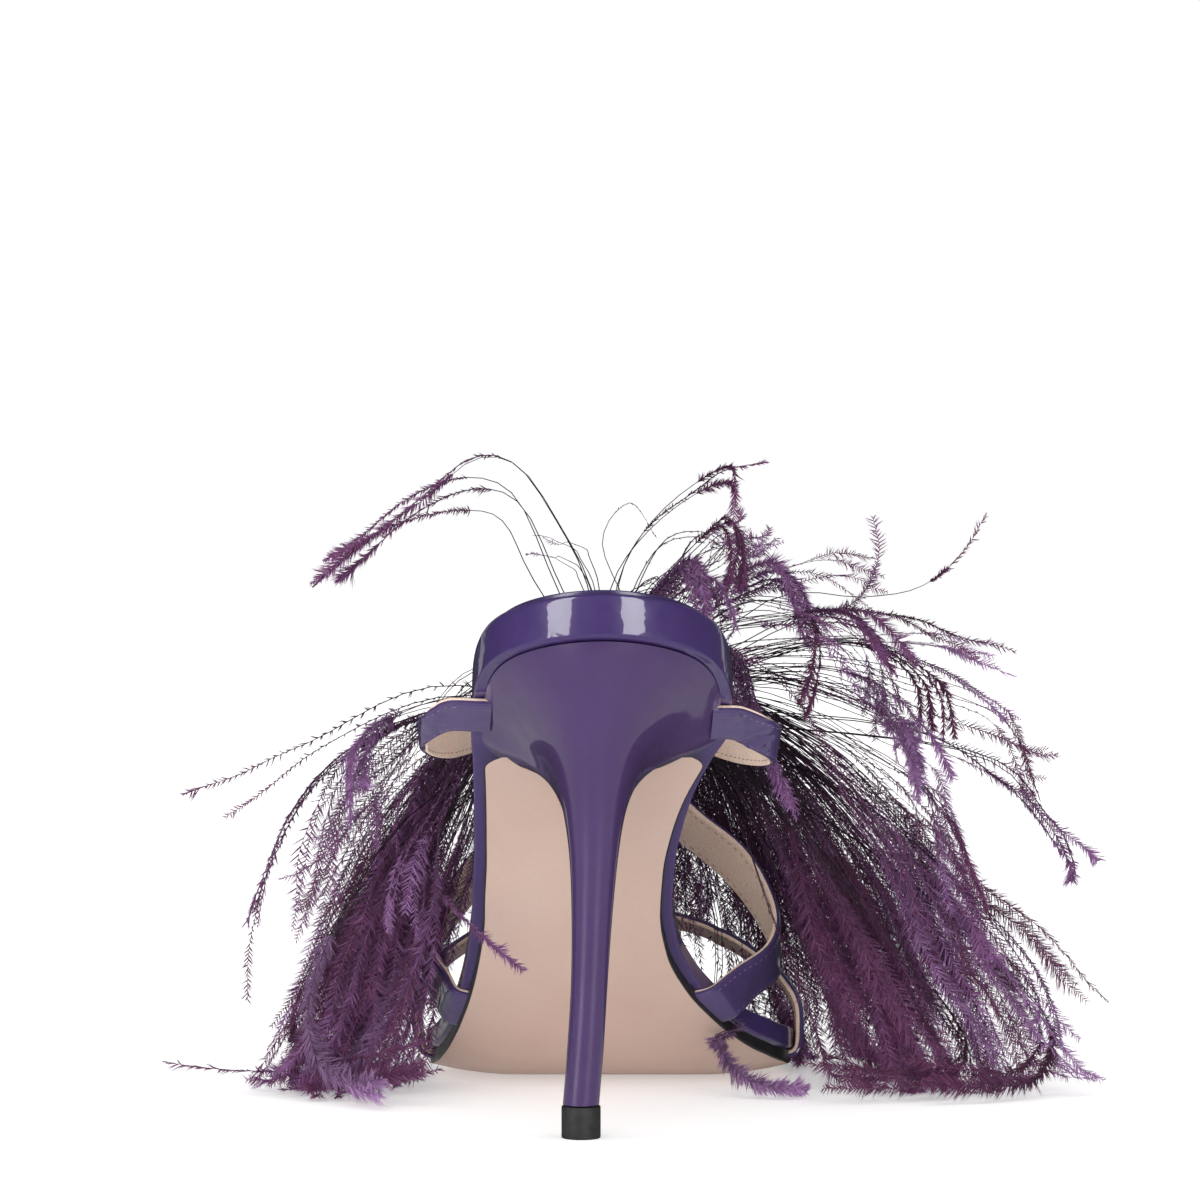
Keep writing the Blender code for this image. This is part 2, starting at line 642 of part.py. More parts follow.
def main():
    clear_scene()
    patent = make_material("patent_purple", (0.060, 0.036, 0.110), 0.12)
    sole_leather = make_material("sole_leather", (0.56, 0.38, 0.31), 0.45)
    rubber = make_material("top_lift_rubber", (0.02, 0.02, 0.02), 0.6)
    sock_patent = make_material("sock_patent", (0.050, 0.030, 0.090), 0.15)
    strap_patent = make_material("strap_patent", (0.060, 0.036, 0.110), 0.14)
    feather = make_material("feather_purple", (0.10, 0.04, 0.10), 0.8)
    heel_patent = make_material("heel_patent", (0.060, 0.036, 0.110), 0.10)
    toe_patent = make_material("toe_strap_patent", (0.060, 0.036, 0.110), 0.14)

    make_footbed(patent)
    make_sock(sock_patent)
    outsole = make_outsole(sole_leather)
    heel = make_heel(heel_patent)
    make_top_lift(rubber)
    make_cross_straps(strap_patent)
    make_toe_strap(toe_patent)
    for number, table in enumerate((OUTER_TO_INNER_STRAP, INNER_TO_OUTER_STRAP, TOE_STRAP)):
        for end, root in enumerate((table[0], table[-1])):
            pocket = make_pocket(root, f"pocket_{number}_{end}")
            holder = heel if number < 2 and end == 0 else outsole
            boolean(holder, pocket, "DIFFERENCE")
    outward = strap_crossing()[1]
    outer_knot, inner_knot, crest_knot = knot_places()
    make_spray("feathers_outer", OUTER_PLUMES, outer_knot, outward, feather)
    make_spray("feathers_inner", INNER_PLUMES, inner_knot, outward, feather)
    make_spray("feathers_crest", CREST_PLUMES, crest_knot, outward, feather)


main()
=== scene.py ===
"""Looks of a strappy stiletto mule in purple patent leather with an ostrich feather bunch.

Frame: the origin is the centre of the heel tip's face on the floor, +Y points to the toe,
+X to the inner side of this left shoe and +Z up. Sizes are in metres.
"""
from collections import namedtuple
from math import cos, pi, radians, sin

import bmesh
import bpy
import numpy as np
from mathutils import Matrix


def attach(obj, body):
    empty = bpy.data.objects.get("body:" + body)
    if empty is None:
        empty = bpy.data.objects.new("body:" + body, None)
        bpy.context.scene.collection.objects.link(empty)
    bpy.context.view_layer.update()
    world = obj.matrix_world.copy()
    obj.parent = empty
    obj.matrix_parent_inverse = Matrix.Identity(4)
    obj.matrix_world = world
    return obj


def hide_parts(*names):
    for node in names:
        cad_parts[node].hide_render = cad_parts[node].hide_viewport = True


# The shoe's sizes, the same as in the part's source
SHOE_REACH = 0.202
SEAT_OVERHANG = 0.020
HEEL_HEIGHT = 0.107
SEAT_WIDTH = 0.0554
WAIST_WIDTH = 0.0438
BALL_WIDTH = 0.0826
SEAT_ROUND = 0.040
TOE_ROUND = 0.058
CLEARANCE = 0.0003
OUTSOLE_THICKNESS = 0.0028
SEAT_RIM = 0.0092
FORE_RIM = 0.0046
RIM_EDGE_ROUND = 0.0009
UPRIGHT_SHARE = 0.30
SOCK_THICKNESS = 0.0011
SOCK_INSET = 0.0024
WAIST_INSET = 0.0024
FORE_INSET = 0.0008
BALL_EDGE_LIFT = 0.0030
FLAT_SHARE = 0.50
BREAST_REACH = 0.036
STEM_WIDTH = 0.0077
CORNER_EASE = 0.16
CORNER_ROUND = 0.0034
STEM_DEPTH = 0.0095
BREAST_UNDERCUT = 0.0046
TOP_LIFT_HEIGHT = 0.0068
TOP_LIFT_FLARE = 0.0003
STRAP_WIDTH = 0.0124
STRAP_THICKNESS = 0.0018
TONGUE_DEPTH = 0.0030
TONGUE_OUTREACH = 0.0022
KNOT_RADIUS = 0.0048
KNOT_SPACING = 0.0054
PLUME_STANDOFF = 0.010

# The outsole comes out to the edge between these shares of the length
FLUSH_START = 0.434
FLUSH_END = 0.62

# A ring of the heel: where its sides start and end as shares of half a turn, where they ease in
# before the breast as shares of the depth, and how far the breast's corners are bevelled
RING_START = 0.012
RING_END = 0.925
CORNER_START = 0.86
CORNER_END = 0.986
BREAST_BEVEL = 0.06

# Seams of the straps: how far the stitches and the pressed groove stand in from the edge
SEAM_INSET = 0.0015
GROOVE_INSET = 0.00125
GROOVE_DEPTH = 0.00011
ROLLED_EDGE = 0.00035
ROLL_DROP = 0.00030
LINING_INSET = 0.00030
STITCH_SINK = 0.00008

FORE_STACK = OUTSOLE_THICKNESS + CLEARANCE
SEAT_BACK = -SEAT_OVERHANG
TOE_TIP = SEAT_BACK + SHOE_REACH

# Mesh steps
END_STEPS = 40
ALONG_STEPS = 110
ACROSS_STEPS = 16
ARC_STEPS = 7
HEEL_RINGS = 120
HEEL_PAIRS = 48
BREAST_COLUMNS = 14
STRAP_STEPS = 306
SHAFT_STEPS = 20
SHAFT_SIDES = 3

Profile = namedtuple("Profile", "along rise rim lift")
PROFILE = (
    Profile(0.000, 1.0000, 1.00, 0.0),
    Profile(0.099, 0.9326, 1.00, 0.0),
    Profile(0.149, 0.8845, 0.96, 0.0),
    Profile(0.198, 0.8268, 0.88, 0.0),
    Profile(0.248, 0.7594, 0.76, 0.0),
    Profile(0.277, 0.7141, 0.68, 0.0),
    Profile(0.317, 0.6470, 0.56, 0.0),
    Profile(0.356, 0.5698, 0.46, 0.0),
    Profile(0.389, 0.4966, 0.38, 0.0),
    Profile(0.426, 0.4090, 0.32, 0.0),
    Profile(0.463, 0.3215, 0.26, 0.1),
    Profile(0.495, 0.2480, 0.22, 0.3),
    Profile(0.535, 0.1650, 0.18, 0.6),
    Profile(0.574, 0.0960, 0.14, 0.9),
    Profile(0.614, 0.0465, 0.10, 1.0),
    Profile(0.663, 0.0144, 0.06, 1.0),
    Profile(0.713, 0.0019, 0.04, 0.9),
    Profile(0.748, 0.0000, 0.02, 0.7),
    Profile(0.851, 0.0000, 0.00, 0.4),
    Profile(0.916, 0.0135, 0.00, 0.3),
    Profile(1.000, 0.0529, 0.00, 0.2),
)

Outline = namedtuple("Outline", "along width middle")
OUTLINE = (
    Outline(0.000, SEAT_WIDTH, 0.083 * SEAT_WIDTH),
    Outline(0.198, SEAT_WIDTH, 0.081 * SEAT_WIDTH),
    Outline(0.238, 0.997 * SEAT_WIDTH, 0.072 * SEAT_WIDTH),
    Outline(0.277, 0.931 * SEAT_WIDTH, 0.043 * SEAT_WIDTH),
    Outline(0.317, 1.098 * WAIST_WIDTH, 0.017 * WAIST_WIDTH),
    Outline(0.356, 1.039 * WAIST_WIDTH, -0.013 * WAIST_WIDTH),
    Outline(0.396, 1.002 * WAIST_WIDTH, -0.035 * WAIST_WIDTH),
    Outline(0.436, WAIST_WIDTH, -0.046 * WAIST_WIDTH),
    Outline(0.475, 1.050 * WAIST_WIDTH, -0.041 * WAIST_WIDTH),
    Outline(0.515, 0.620 * BALL_WIDTH, -0.007 * BALL_WIDTH),
    Outline(0.554, 0.708 * BALL_WIDTH, 0.015 * BALL_WIDTH),
    Outline(0.594, 0.811 * BALL_WIDTH, 0.040 * BALL_WIDTH),
    Outline(0.634, 0.913 * BALL_WIDTH, 0.064 * BALL_WIDTH),
    Outline(0.673, 0.976 * BALL_WIDTH, 0.076 * BALL_WIDTH),
    Outline(0.713, BALL_WIDTH, 0.076 * BALL_WIDTH),
    Outline(1.000, BALL_WIDTH, 0.116 * BALL_WIDTH),
)

Level = namedtuple("Level", "back_drop back_spread breast_drop breast_spread width_spread lean")
HEEL_LEVELS = (
    Level(0.000, 1.000, 0.000, 1.000, 1.000, 1.00),
    Level(0.037, 0.960, 0.009, 0.930, 0.870, 0.93),
    Level(0.100, 0.800, 0.030, 0.770, 0.590, 0.82),
    Level(0.173, 0.570, 0.070, 0.550, 0.350, 0.72),
    Level(0.258, 0.370, 0.122, 0.345, 0.206, 0.66),
    Level(0.348, 0.220, 0.192, 0.186, 0.117, 0.62),
    Level(0.459, 0.105, 0.310, 0.090, 0.056, 0.59),
    Level(0.589, 0.035, 0.470, 0.034, 0.020, 0.50),
    Level(0.730, 0.005, 0.640, 0.008, 0.000, 0.39),
    Level(0.870, 0.000, 0.820, 0.000, 0.000, 0.22),
    Level(1.000, 0.000, 1.000, 0.000, 0.000, 0.00),
)

Fold = namedtuple("Fold", "back front")
Root = namedtuple("Root", "side back_along front_along")
OUTER_TO_INNER_STRAP = (
    Root(-1, 0.163, 0.231),
    Fold((-0.350, 0.168, 0.868), (-0.340, 0.238, 0.782)),
    Fold((-0.404, 0.193, 0.842), (-0.401, 0.272, 0.745)),
    Fold((-0.416, 0.252, 0.822), (-0.409, 0.317, 0.720)),
    Fold((-0.370, 0.345, 0.820), (-0.352, 0.376, 0.708)),
    Fold((-0.220, 0.450, 0.826), (-0.245, 0.482, 0.720)),
    Fold((-0.040, 0.550, 0.798), (-0.120, 0.580, 0.730)),
    Fold((0.120, 0.612, 0.744), (0.004, 0.640, 0.694)),
    Fold((0.298, 0.680, 0.578), (0.225, 0.728, 0.520)),
    Fold((0.448, 0.690, 0.482), (0.400, 0.736, 0.404)),
    Fold((0.528, 0.669, 0.364), (0.510, 0.716, 0.290)),
    Fold((0.510, 0.624, 0.296), (0.535, 0.672, 0.216)),
    Fold((0.418, 0.572, 0.250), (0.462, 0.614, 0.186)),
    Root(1, 0.521, 0.574),
)
INNER_TO_OUTER_STRAP = (
    Root(1, 0.176, 0.243),
    Fold((0.418, 0.190, 0.846), (0.392, 0.252, 0.760)),
    Fold((0.486, 0.222, 0.822), (0.462, 0.282, 0.728)),
    Fold((0.516, 0.284, 0.800), (0.498, 0.328, 0.702)),
    Fold((0.440, 0.376, 0.806), (0.420, 0.406, 0.694)),
    Fold((0.300, 0.462, 0.818), (0.312, 0.496, 0.712)),
    Fold((0.150, 0.550, 0.806), (0.214, 0.582, 0.730)),
    Fold((0.010, 0.618, 0.756), (0.116, 0.646, 0.706)),
    Fold((-0.160, 0.680, 0.590), (-0.094, 0.728, 0.530)),
    Fold((-0.320, 0.682, 0.455), (-0.285, 0.730, 0.378)),
    Fold((-0.408, 0.648, 0.345), (-0.398, 0.694, 0.266)),
    Fold((-0.412, 0.608, 0.286), (-0.424, 0.652, 0.204)),
    Fold((-0.362, 0.566, 0.236), (-0.388, 0.606, 0.170)),
    Root(-1, 0.524, 0.577),
)
TOE_STRAP = (
    Root(-1, 0.690, 0.752),
    Fold((-0.452, 0.700, 0.092), (-0.446, 0.762, 0.088)),
    Fold((-0.458, 0.718, 0.152), (-0.448, 0.778, 0.140)),
    Fold((-0.400, 0.744, 0.236), (-0.388, 0.800, 0.214)),
    Fold((-0.230, 0.764, 0.316), (-0.222, 0.820, 0.284)),
    Fold((0.040, 0.776, 0.346), (0.044, 0.834, 0.312)),
    Fold((0.300, 0.766, 0.320), (0.296, 0.824, 0.290)),
    Fold((0.480, 0.744, 0.252), (0.470, 0.802, 0.226)),
    Fold((0.582, 0.716, 0.170), (0.576, 0.776, 0.152)),
    Fold((0.594, 0.700, 0.104), (0.592, 0.762, 0.096)),
    Root(1, 0.690, 0.752),
)

# Soft creases across a strap: places along it in millimetres from its start, across it in
# millimetres from its middle, and the depth and breadth of the trough in millimetres.
Crease = namedtuple("Crease", "along_a across_a along_b across_b depth breadth")
OUTER_TO_INNER_CREASES = (
    Crease(9.0, -5.0, 13.0, 4.0, 0.30, 0.9),
    Crease(13.5, -6.0, 15.0, 2.0, -0.18, 0.8),
    Crease(21.0, -6.0, 24.0, 6.0, 0.22, 1.4),
    Crease(52.0, -6.0, 47.0, 6.0, 0.18, 1.6),
    Crease(126.0, -6.0, 131.0, 6.0, 0.24, 1.2),
    Crease(138.0, -6.0, 136.0, 5.0, 0.20, 1.0),
)
INNER_TO_OUTER_CREASES = (
    Crease(9.5, 5.5, 13.5, 1.0, 0.42, 0.7),
    Crease(13.5, 1.0, 18.5, -1.5, 0.42, 0.7),
    Crease(11.5, 5.5, 15.5, 2.2, -0.34, 0.8),
    Crease(7.0, -5.0, 9.0, 3.0, 0.20, 1.0),
    Crease(24.0, -6.0, 22.0, 6.0, 0.24, 1.4),
    Crease(118.0, -6.0, 121.0, 6.0, 0.22, 1.2),
    Crease(126.0, -5.0, 124.0, 6.0, 0.22, 1.0),
)
TOE_STRAP_CREASES = (
    Crease(8.0, -6.0, 9.0, 6.0, 0.16, 1.2),
    Crease(14.0, -6.0, 12.5, 6.0, 0.20, 1.4),
    Crease(95.0, -6.0, 97.0, 6.0, 0.20, 1.4),
)


class Track:
    """A curve through rows without overshoot, read at many places at once."""

    def __init__(self, table, name):
        keys = np.array([row.along for row in table])
        values = np.array([getattr(row, name) for row in table])
        steps = np.diff(keys)
        slopes = np.diff(values) / steps
        tangents = np.zeros(len(keys))
        tangents[0], tangents[-1] = slopes[0], slopes[-1]
        for i in range(1, len(keys) - 1):
            if slopes[i - 1] * slopes[i] > 0:
                before = 2 * steps[i] + steps[i - 1]
                after = steps[i] + 2 * steps[i - 1]
                tangents[i] = (before + after) / (before / slopes[i - 1] + after / slopes[i])
        self.keys, self.values, self.steps, self.tangents = keys, values, steps, tangents

    def __call__(self, place):
        place = np.clip(place, self.keys[0], self.keys[-1])
        i = np.clip(np.searchsorted(self.keys, place, side="right") - 1, 0, len(self.steps) - 1)
        t = (place - self.keys[i]) / self.steps[i]
        return ((1 + 2 * t) * (1 - t) ** 2 * self.values[i]
                + t * (1 - t) ** 2 * self.steps[i] * self.tangents[i]
                + t * t * (3 - 2 * t) * self.values[i + 1]
                - t * t * (1 - t) * self.steps[i] * self.tangents[i + 1])


RISE = Track(PROFILE, "rise")
RIM = Track(PROFILE, "rim")
LIFT = Track(PROFILE, "lift")
WIDTH = Track(OUTLINE, "width")
MIDDLE = Track(OUTLINE, "middle")


def along(y):
    """How far y lies along the shoe, as a share of its reach."""
    return (y - SEAT_BACK) / SHOE_REACH


def base_height(y):
    return FORE_STACK + RISE(along(y)) * (HEEL_HEIGHT - FORE_STACK)


def base_lean(y):
    """How far the footbed's normal leans to the toe, as a share of the normal's length."""
    reach = 0.0004
    slope = (base_height(y + reach) - base_height(y - reach)) / (2 * reach)
    return -slope / np.sqrt(1 + slope * slope)


def eased(share):
    """A share from 0 to 1 that starts and ends softly."""
    share = np.clip(share, 0.0, 1.0)
    return share * share * (3 - 2 * share)


def half_width(y, inset=0.0):
    """Half the footbed's width at y, with rounded ends, drawn in by an even inset."""
    half = WIDTH(along(y)) / 2 - inset
    seat_gap = (SEAT_BACK + SEAT_ROUND - y) / (SEAT_ROUND - inset)
    toe_gap = (y - TOE_TIP + TOE_ROUND) / (TOE_ROUND - inset)
    gap = np.clip(np.maximum(seat_gap, toe_gap), 0.0, 1.0)
    return half * np.sqrt(1 - gap * gap)


def middle(y):
    return MIDDLE(along(y))


def rim_height(y):
    return FORE_RIM + RIM(along(y)) * (SEAT_RIM - FORE_RIM)


def outsole_inset(y):
    """The outsole stands in under the waist and comes out almost flush at the ball."""
    share = eased((along(y) - FLUSH_START) / (FLUSH_END - FLUSH_START))
    return WAIST_INSET + share * (FORE_INSET - WAIST_INSET)


def stack_direction(y, height):
    """Layers stack square to the footbed, but the rim stands upright around the seat."""
    normal_y = base_lean(y)
    normal_y = np.where(height > 0, normal_y * eased(along(y) / UPRIGHT_SHARE), normal_y)
    return normal_y, np.sqrt(1 - normal_y ** 2)


def sole_point(y, x_offset, height):
    """The place at x_offset from the middle line and at a height above the footbed's base."""
    across = np.minimum(np.abs(x_offset) / np.maximum(half_width(y), 1e-6), 1.0)
    outer = np.maximum(across - FLAT_SHARE, 0.0) / (1 - FLAT_SHARE)
    lift = LIFT(along(y)) * BALL_EDGE_LIFT * outer ** 2
    normal_y, normal_z = stack_direction(y, height)
    return np.stack((middle(y) + x_offset, y + normal_y * height,
                     base_height(y) + normal_z * height + lift), axis=-1)


def stations(inset, start=None):
    """Places along the shoe for each inset, close together on the rounded ends."""
    inset = np.asarray(inset, float)
    ends = np.linspace(0, pi / 2, END_STEPS + 1)
    seat_end = SEAT_BACK + SEAT_ROUND
    toe_start = TOE_TIP - TOE_ROUND
    rows = []
    first = 0
    if start is None:
        rows = [seat_end - (SEAT_ROUND - inset) * cos(a) for a in ends]
        start, first = seat_end, 1
    rows += list(np.linspace(start + 0 * inset, toe_start, ALONG_STEPS + 1)[first:-1])
    rows += [toe_start + (TOE_ROUND - inset) * sin(a) for a in ends]
    return np.array(rows)


def add_object(name, data):
    """A new object with its data, linked to the scene."""
    body = bpy.data.objects.new(name, data)
    bpy.context.scene.collection.objects.link(body)
    return body


def new_mesh(name, points, faces):
    mesh = bpy.data.meshes.new(name)
    mesh.from_pydata(points, [], faces)
    return mesh


def ring_quads(index):
    """The quads between rings of points; the last axis of index goes around each ring."""
    after = np.roll(index, -1, axis=-1)
    corners = (index[..., :-1, :], after[..., :-1, :], after[..., 1:, :], index[..., 1:, :])
    return np.stack(corners, axis=-1).reshape(-1, 4)


def ring_triangles(index):
    quads = ring_quads(index)
    return np.concatenate((quads[:, (0, 1, 2)], quads[:, (0, 2, 3)]))


def grid_object(name, points, materials, pick=None, sharp=50, cap=0):
    """A closed body over rows of rings; pick gives each column's material."""
    rows, columns = points.shape[:2]
    index = np.arange(rows * columns).reshape(rows, columns)
    faces = ring_quads(index).tolist() + [index[0][::-1].tolist(), index[-1].tolist()]
    slots = np.tile(pick if pick is not None else np.zeros(columns, int), rows - 1).tolist()
    slots += [cap, slots[0]]
    mesh = new_mesh(name, points.reshape(-1, 3).tolist(), faces)
    return finish_mesh(name, mesh, materials, slots, sharp)


def finish_mesh(name, mesh, materials, slots=None, sharp=50):
    """Link a mesh with its materials, its faces turned outward and its edges shaded."""
    for material in materials:
        mesh.materials.append(material)
    if slots is not None:
        mesh.polygons.foreach_set("material_index", np.array(slots, np.int32))
    builder = bmesh.new()
    builder.from_mesh(mesh)
    bmesh.ops.remove_doubles(builder, verts=builder.verts[:], dist=2e-6)
    bmesh.ops.recalc_face_normals(builder, faces=builder.faces[:])
    builder.to_mesh(mesh)
    builder.free()
    mesh.shade_smooth()
    mesh.set_sharp_from_angle(angle=radians(sharp))
    return add_object(name, mesh)


def keep(body, slot, *nodes):
    """Tie a piece to the shoe and hide the solids that it stands for; slot, the name of its finish, is not
    used.
    """
    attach(body, "root")
    if nodes:
        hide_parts(*nodes)
    return body


# Materials

def linear(red, green, blue):
    """An sRGB colour of 0 to 255 as linear light."""
    values = np.array((red, green, blue)) / 255
    return tuple(np.where(values <= 0.04045, values / 12.92, ((values + 0.055) / 1.055) ** 2.4))


class Finish:
    """A Principled material with its node helpers."""

    def __init__(self, name, **sockets):
        self.material = bpy.data.materials.new(name)
        self.material.use_nodes = True
        self.tree = self.material.node_tree
        self.shader = self.tree.nodes["Principled BSDF"]
        for socket, value in sockets.items():
            self.shader.inputs[socket.replace("_", " ")].default_value = value
        self.place = self.node("ShaderNodeTexCoord").outputs["Object"]

    def node(self, kind, **settings):
        item = self.tree.nodes.new(kind)
        for key, value in settings.items():
            setattr(item, key, value)
        return item

    def link(self, source, target):
        self.tree.links.new(source, target)

    def noise(self, scale, detail=3.0, roughness=0.5, stretch=None):
        item = self.node("ShaderNodeTexNoise")
        item.inputs["Scale"].default_value = scale
        item.inputs["Detail"].default_value = detail
        item.inputs["Roughness"].default_value = roughness
        source = self.place
        if stretch:
            mapping = self.node("ShaderNodeMapping")
            mapping.inputs["Scale"].default_value = stretch
            self.link(source, mapping.inputs["Vector"])
            source = mapping.outputs["Vector"]
        self.link(source, item.inputs["Vector"])
        return item.outputs["Fac"]

    def cells(self, scale):
        item = self.node("ShaderNodeTexVoronoi", feature="DISTANCE_TO_EDGE")
        item.inputs["Scale"].default_value = scale
        self.link(self.place, item.inputs["Vector"])
        return item.outputs["Distance"]

    def ramp(self, source, *stops):
        item = self.node("ShaderNodeValToRGB")
        elements = item.color_ramp.elements
        elements[0].position, elements[0].color = stops[0][0], (*stops[0][1], 1)
        elements[1].position, elements[1].color = stops[-1][0], (*stops[-1][1], 1)
        for place, color in stops[1:-1]:
            element = elements.new(place)
            element.color = (*color, 1)
        self.link(source, item.inputs["Fac"])
        return item.outputs["Color"]

    def levels(self, source, low, high, to_low, to_high):
        item = self.node("ShaderNodeMapRange")
        sockets = ("From Min", "From Max", "To Min", "To Max")
        for socket, value in zip(sockets, (low, high, to_low, to_high)):
            item.inputs[socket].default_value = value
        self.link(source, item.inputs["Value"])
        return item.outputs["Result"]

    def mix(self, factor, first, second, blend="MIX"):
        item = self.node("ShaderNodeMix", data_type="RGBA", blend_type=blend)
        for socket, value in ((0, factor), (6, first), (7, second)):
            if isinstance(value, (int, float)):
                item.inputs[socket].default_value = value
            elif isinstance(value, tuple):
                item.inputs[socket].default_value = (*value, 1)
            else:
                self.link(value, item.inputs[socket])
        return item.outputs[2]

    def bump(self, height, depth, after=None, coat=False):
        item = self.node("ShaderNodeBump")
        item.inputs["Strength"].default_value = 1.0
        item.inputs["Distance"].default_value = depth
        self.link(height, item.inputs["Height"])
        if after:
            self.link(after, item.inputs["Normal"])
        self.link(item.outputs["Normal"], self.shader.inputs["Normal"])
        if coat:
            self.link(item.outputs["Normal"], self.shader.inputs["Coat Normal"])
        return item.outputs["Normal"]

    def color(self, source):
        self.link(source, self.shader.inputs["Base Color"])

    def rough(self, source, smooth, matt, start=0.3, end=0.7):
        """Roughness from smooth to matt as the source goes from start to end."""
        self.link(self.levels(source, start, end, smooth, matt), self.shader.inputs["Roughness"])


def patent(name, deep, pale, wave=0.00006, waves=170.0, gloss=0.05):
    """Patent leather: dyed skin with a faint grain under a clear coat with slow waves."""
    finish = Finish(name, Coat_Weight=1.0, Coat_Roughness=gloss, Coat_IOR=1.5, Specular_IOR_Level=0.25)
    base = finish.ramp(finish.noise(38.0, 4.0), (0.32, deep), (0.70, pale))
    specks = finish.levels(finish.noise(1400.0, 2.0), 0.60, 0.78, 0.0, 0.22)
    finish.color(finish.mix(specks, base, tuple(c * 0.6 for c in deep)))
    finish.rough(finish.noise(240.0), 0.30, 0.42)
    slow = finish.bump(finish.noise(waves, 1.5, 0.4), wave * 4, coat=True)
    finish.bump(finish.noise(520.0, 1.0), wave * 0.35, after=slow, coat=True)
    return finish.material


def outsole_leather():
    finish = Finish("outsole_beige_leather", Specular_IOR_Level=0.35)
    cloud = finish.noise(26.0, 5.0, 0.55)
    base = finish.ramp(cloud, (0.30, linear(188, 161, 147)), (0.72, linear(196, 171, 159)))
    fibres = finish.noise(900.0, 4.0, 0.6, stretch=(1.0, 0.45, 1.0))
    finish.color(finish.mix(finish.levels(fibres, 0.50, 0.75, 0.0, 0.16), base, linear(178, 146, 130)))
    finish.rough(cloud, 0.40, 0.52)
    grain = finish.bump(fibres, 0.00004)
    finish.bump(finish.noise(60.0, 2.0), 0.00010, after=grain)
    return finish.material


def edge_paint():
    finish = Finish("outsole_edge_paint", Specular_IOR_Level=0.5)
    cloud = finish.noise(420.0, 3.0)
    finish.color(finish.ramp(cloud, (0.30, linear(26, 25, 27)), (0.72, linear(44, 41, 44))))
    finish.rough(finish.noise(300.0), 0.30, 0.45)
    finish.bump(finish.noise(700.0, 3.0), 0.00003)
    return finish.material


def lining_leather():
    """Kid lining: fine pebbled grain and faint wrinkles across the strap."""
    finish = Finish("strap_lining_kid", Specular_IOR_Level=0.3)
    cloud = finish.noise(70.0, 4.0)
    # The base colours are lighter than the kid's own beige: painted fill light for a lining that lies in
    # shade
    base = finish.ramp(cloud, (0.30, linear(248, 216, 194)), (0.72, linear(252, 228, 208)))
    pores = finish.cells(1500.0)
    finish.color(finish.mix(finish.levels(pores, 0.0, 0.10, 0.30, 0.0), base, linear(146, 112, 92)))
    finish.rough(cloud, 0.55, 0.68)
    pebble = finish.bump(finish.levels(pores, 0.0, 0.16, 0.0, 1.0), 0.00003)
    finish.bump(finish.noise(190.0, 3.0, 0.6, stretch=(1.0, 1.0, 0.30)), 0.00022, after=pebble)
    return finish.material


def rubber():
    finish = Finish("heel_tip_rubber", Specular_IOR_Level=0.35)
    cloud = finish.noise(500.0, 4.0)
    finish.color(finish.ramp(cloud, (0.30, linear(30, 30, 31)), (0.72, linear(48, 47, 48))))
    finish.rough(finish.noise(260.0), 0.50, 0.66)
    finish.bump(finish.noise(1600.0, 3.0), 0.00005)
    return finish.material


def thread(name, deep, pale):
    """Sewing thread with a fine twist."""
    finish = Finish(name, Specular_IOR_Level=0.3)
    twist = finish.noise(2400.0, 2.0, stretch=(1.0, 1.0, 0.4))
    finish.color(finish.ramp(twist, (0.3, deep), (0.7, pale)))
    finish.rough(twist, 0.55, 0.7)
    finish.bump(twist, 0.00005)
    return finish.material


def feather():
    """Dyed ostrich: near-black shafts at the root, plum and lilac fluff towards the tips."""
    finish = Finish("ostrich_feather", Specular_IOR_Level=0.25)
    tone = finish.node("ShaderNodeAttribute", attribute_name="tone")
    parts = finish.node("ShaderNodeSeparateColor")
    finish.link(tone.outputs["Color"], parts.inputs["Color"])
    place, tint, barb = parts.outputs["Red"], parts.outputs["Green"], parts.outputs["Blue"]
    shaft = finish.ramp(place, (0.20, linear(24, 12, 24)), (0.55, linear(62, 32, 60)),
                        (0.95, linear(150, 108, 150)))
    fluff = finish.ramp(tint, (0.05, linear(90, 42, 74)), (0.40, linear(117, 66, 105)),
                        (0.70, linear(138, 96, 146)), (0.98, linear(170, 134, 178)))
    dark = finish.ramp(place, (0.15, (0.34, 0.28, 0.34)), (0.60, (0.66, 0.62, 0.64)),
                       (0.92, (1.15, 1.12, 1.15)))
    fluff = finish.mix(1.0, fluff, dark, "MULTIPLY")
    base = finish.mix(barb, shaft, fluff)
    patchy = finish.noise(160.0, 3.0)
    finish.color(finish.mix(finish.levels(patchy, 0.48, 0.80, 0.0, 0.35), base, linear(66, 34, 66)))
    finish.rough(barb, 0.38, 0.62, 0.0, 1.0)
    finish.bump(finish.noise(2600.0, 2.0), 0.00002)
    return finish.material


def floor_paper():
    finish = Finish("studio_paper", Specular_IOR_Level=0.1, Emission_Strength=0.34)
    finish.color(finish.ramp(finish.noise(6.0, 3.0), (0.3, (0.88, 0.88, 0.88)), (0.7, (0.92, 0.92, 0.92))))
    finish.shader.inputs["Emission Color"].default_value = (1.0, 1.0, 1.0, 1.0)
    finish.rough(finish.noise(40.0), 0.70, 0.85)
    return finish.material


# Sole

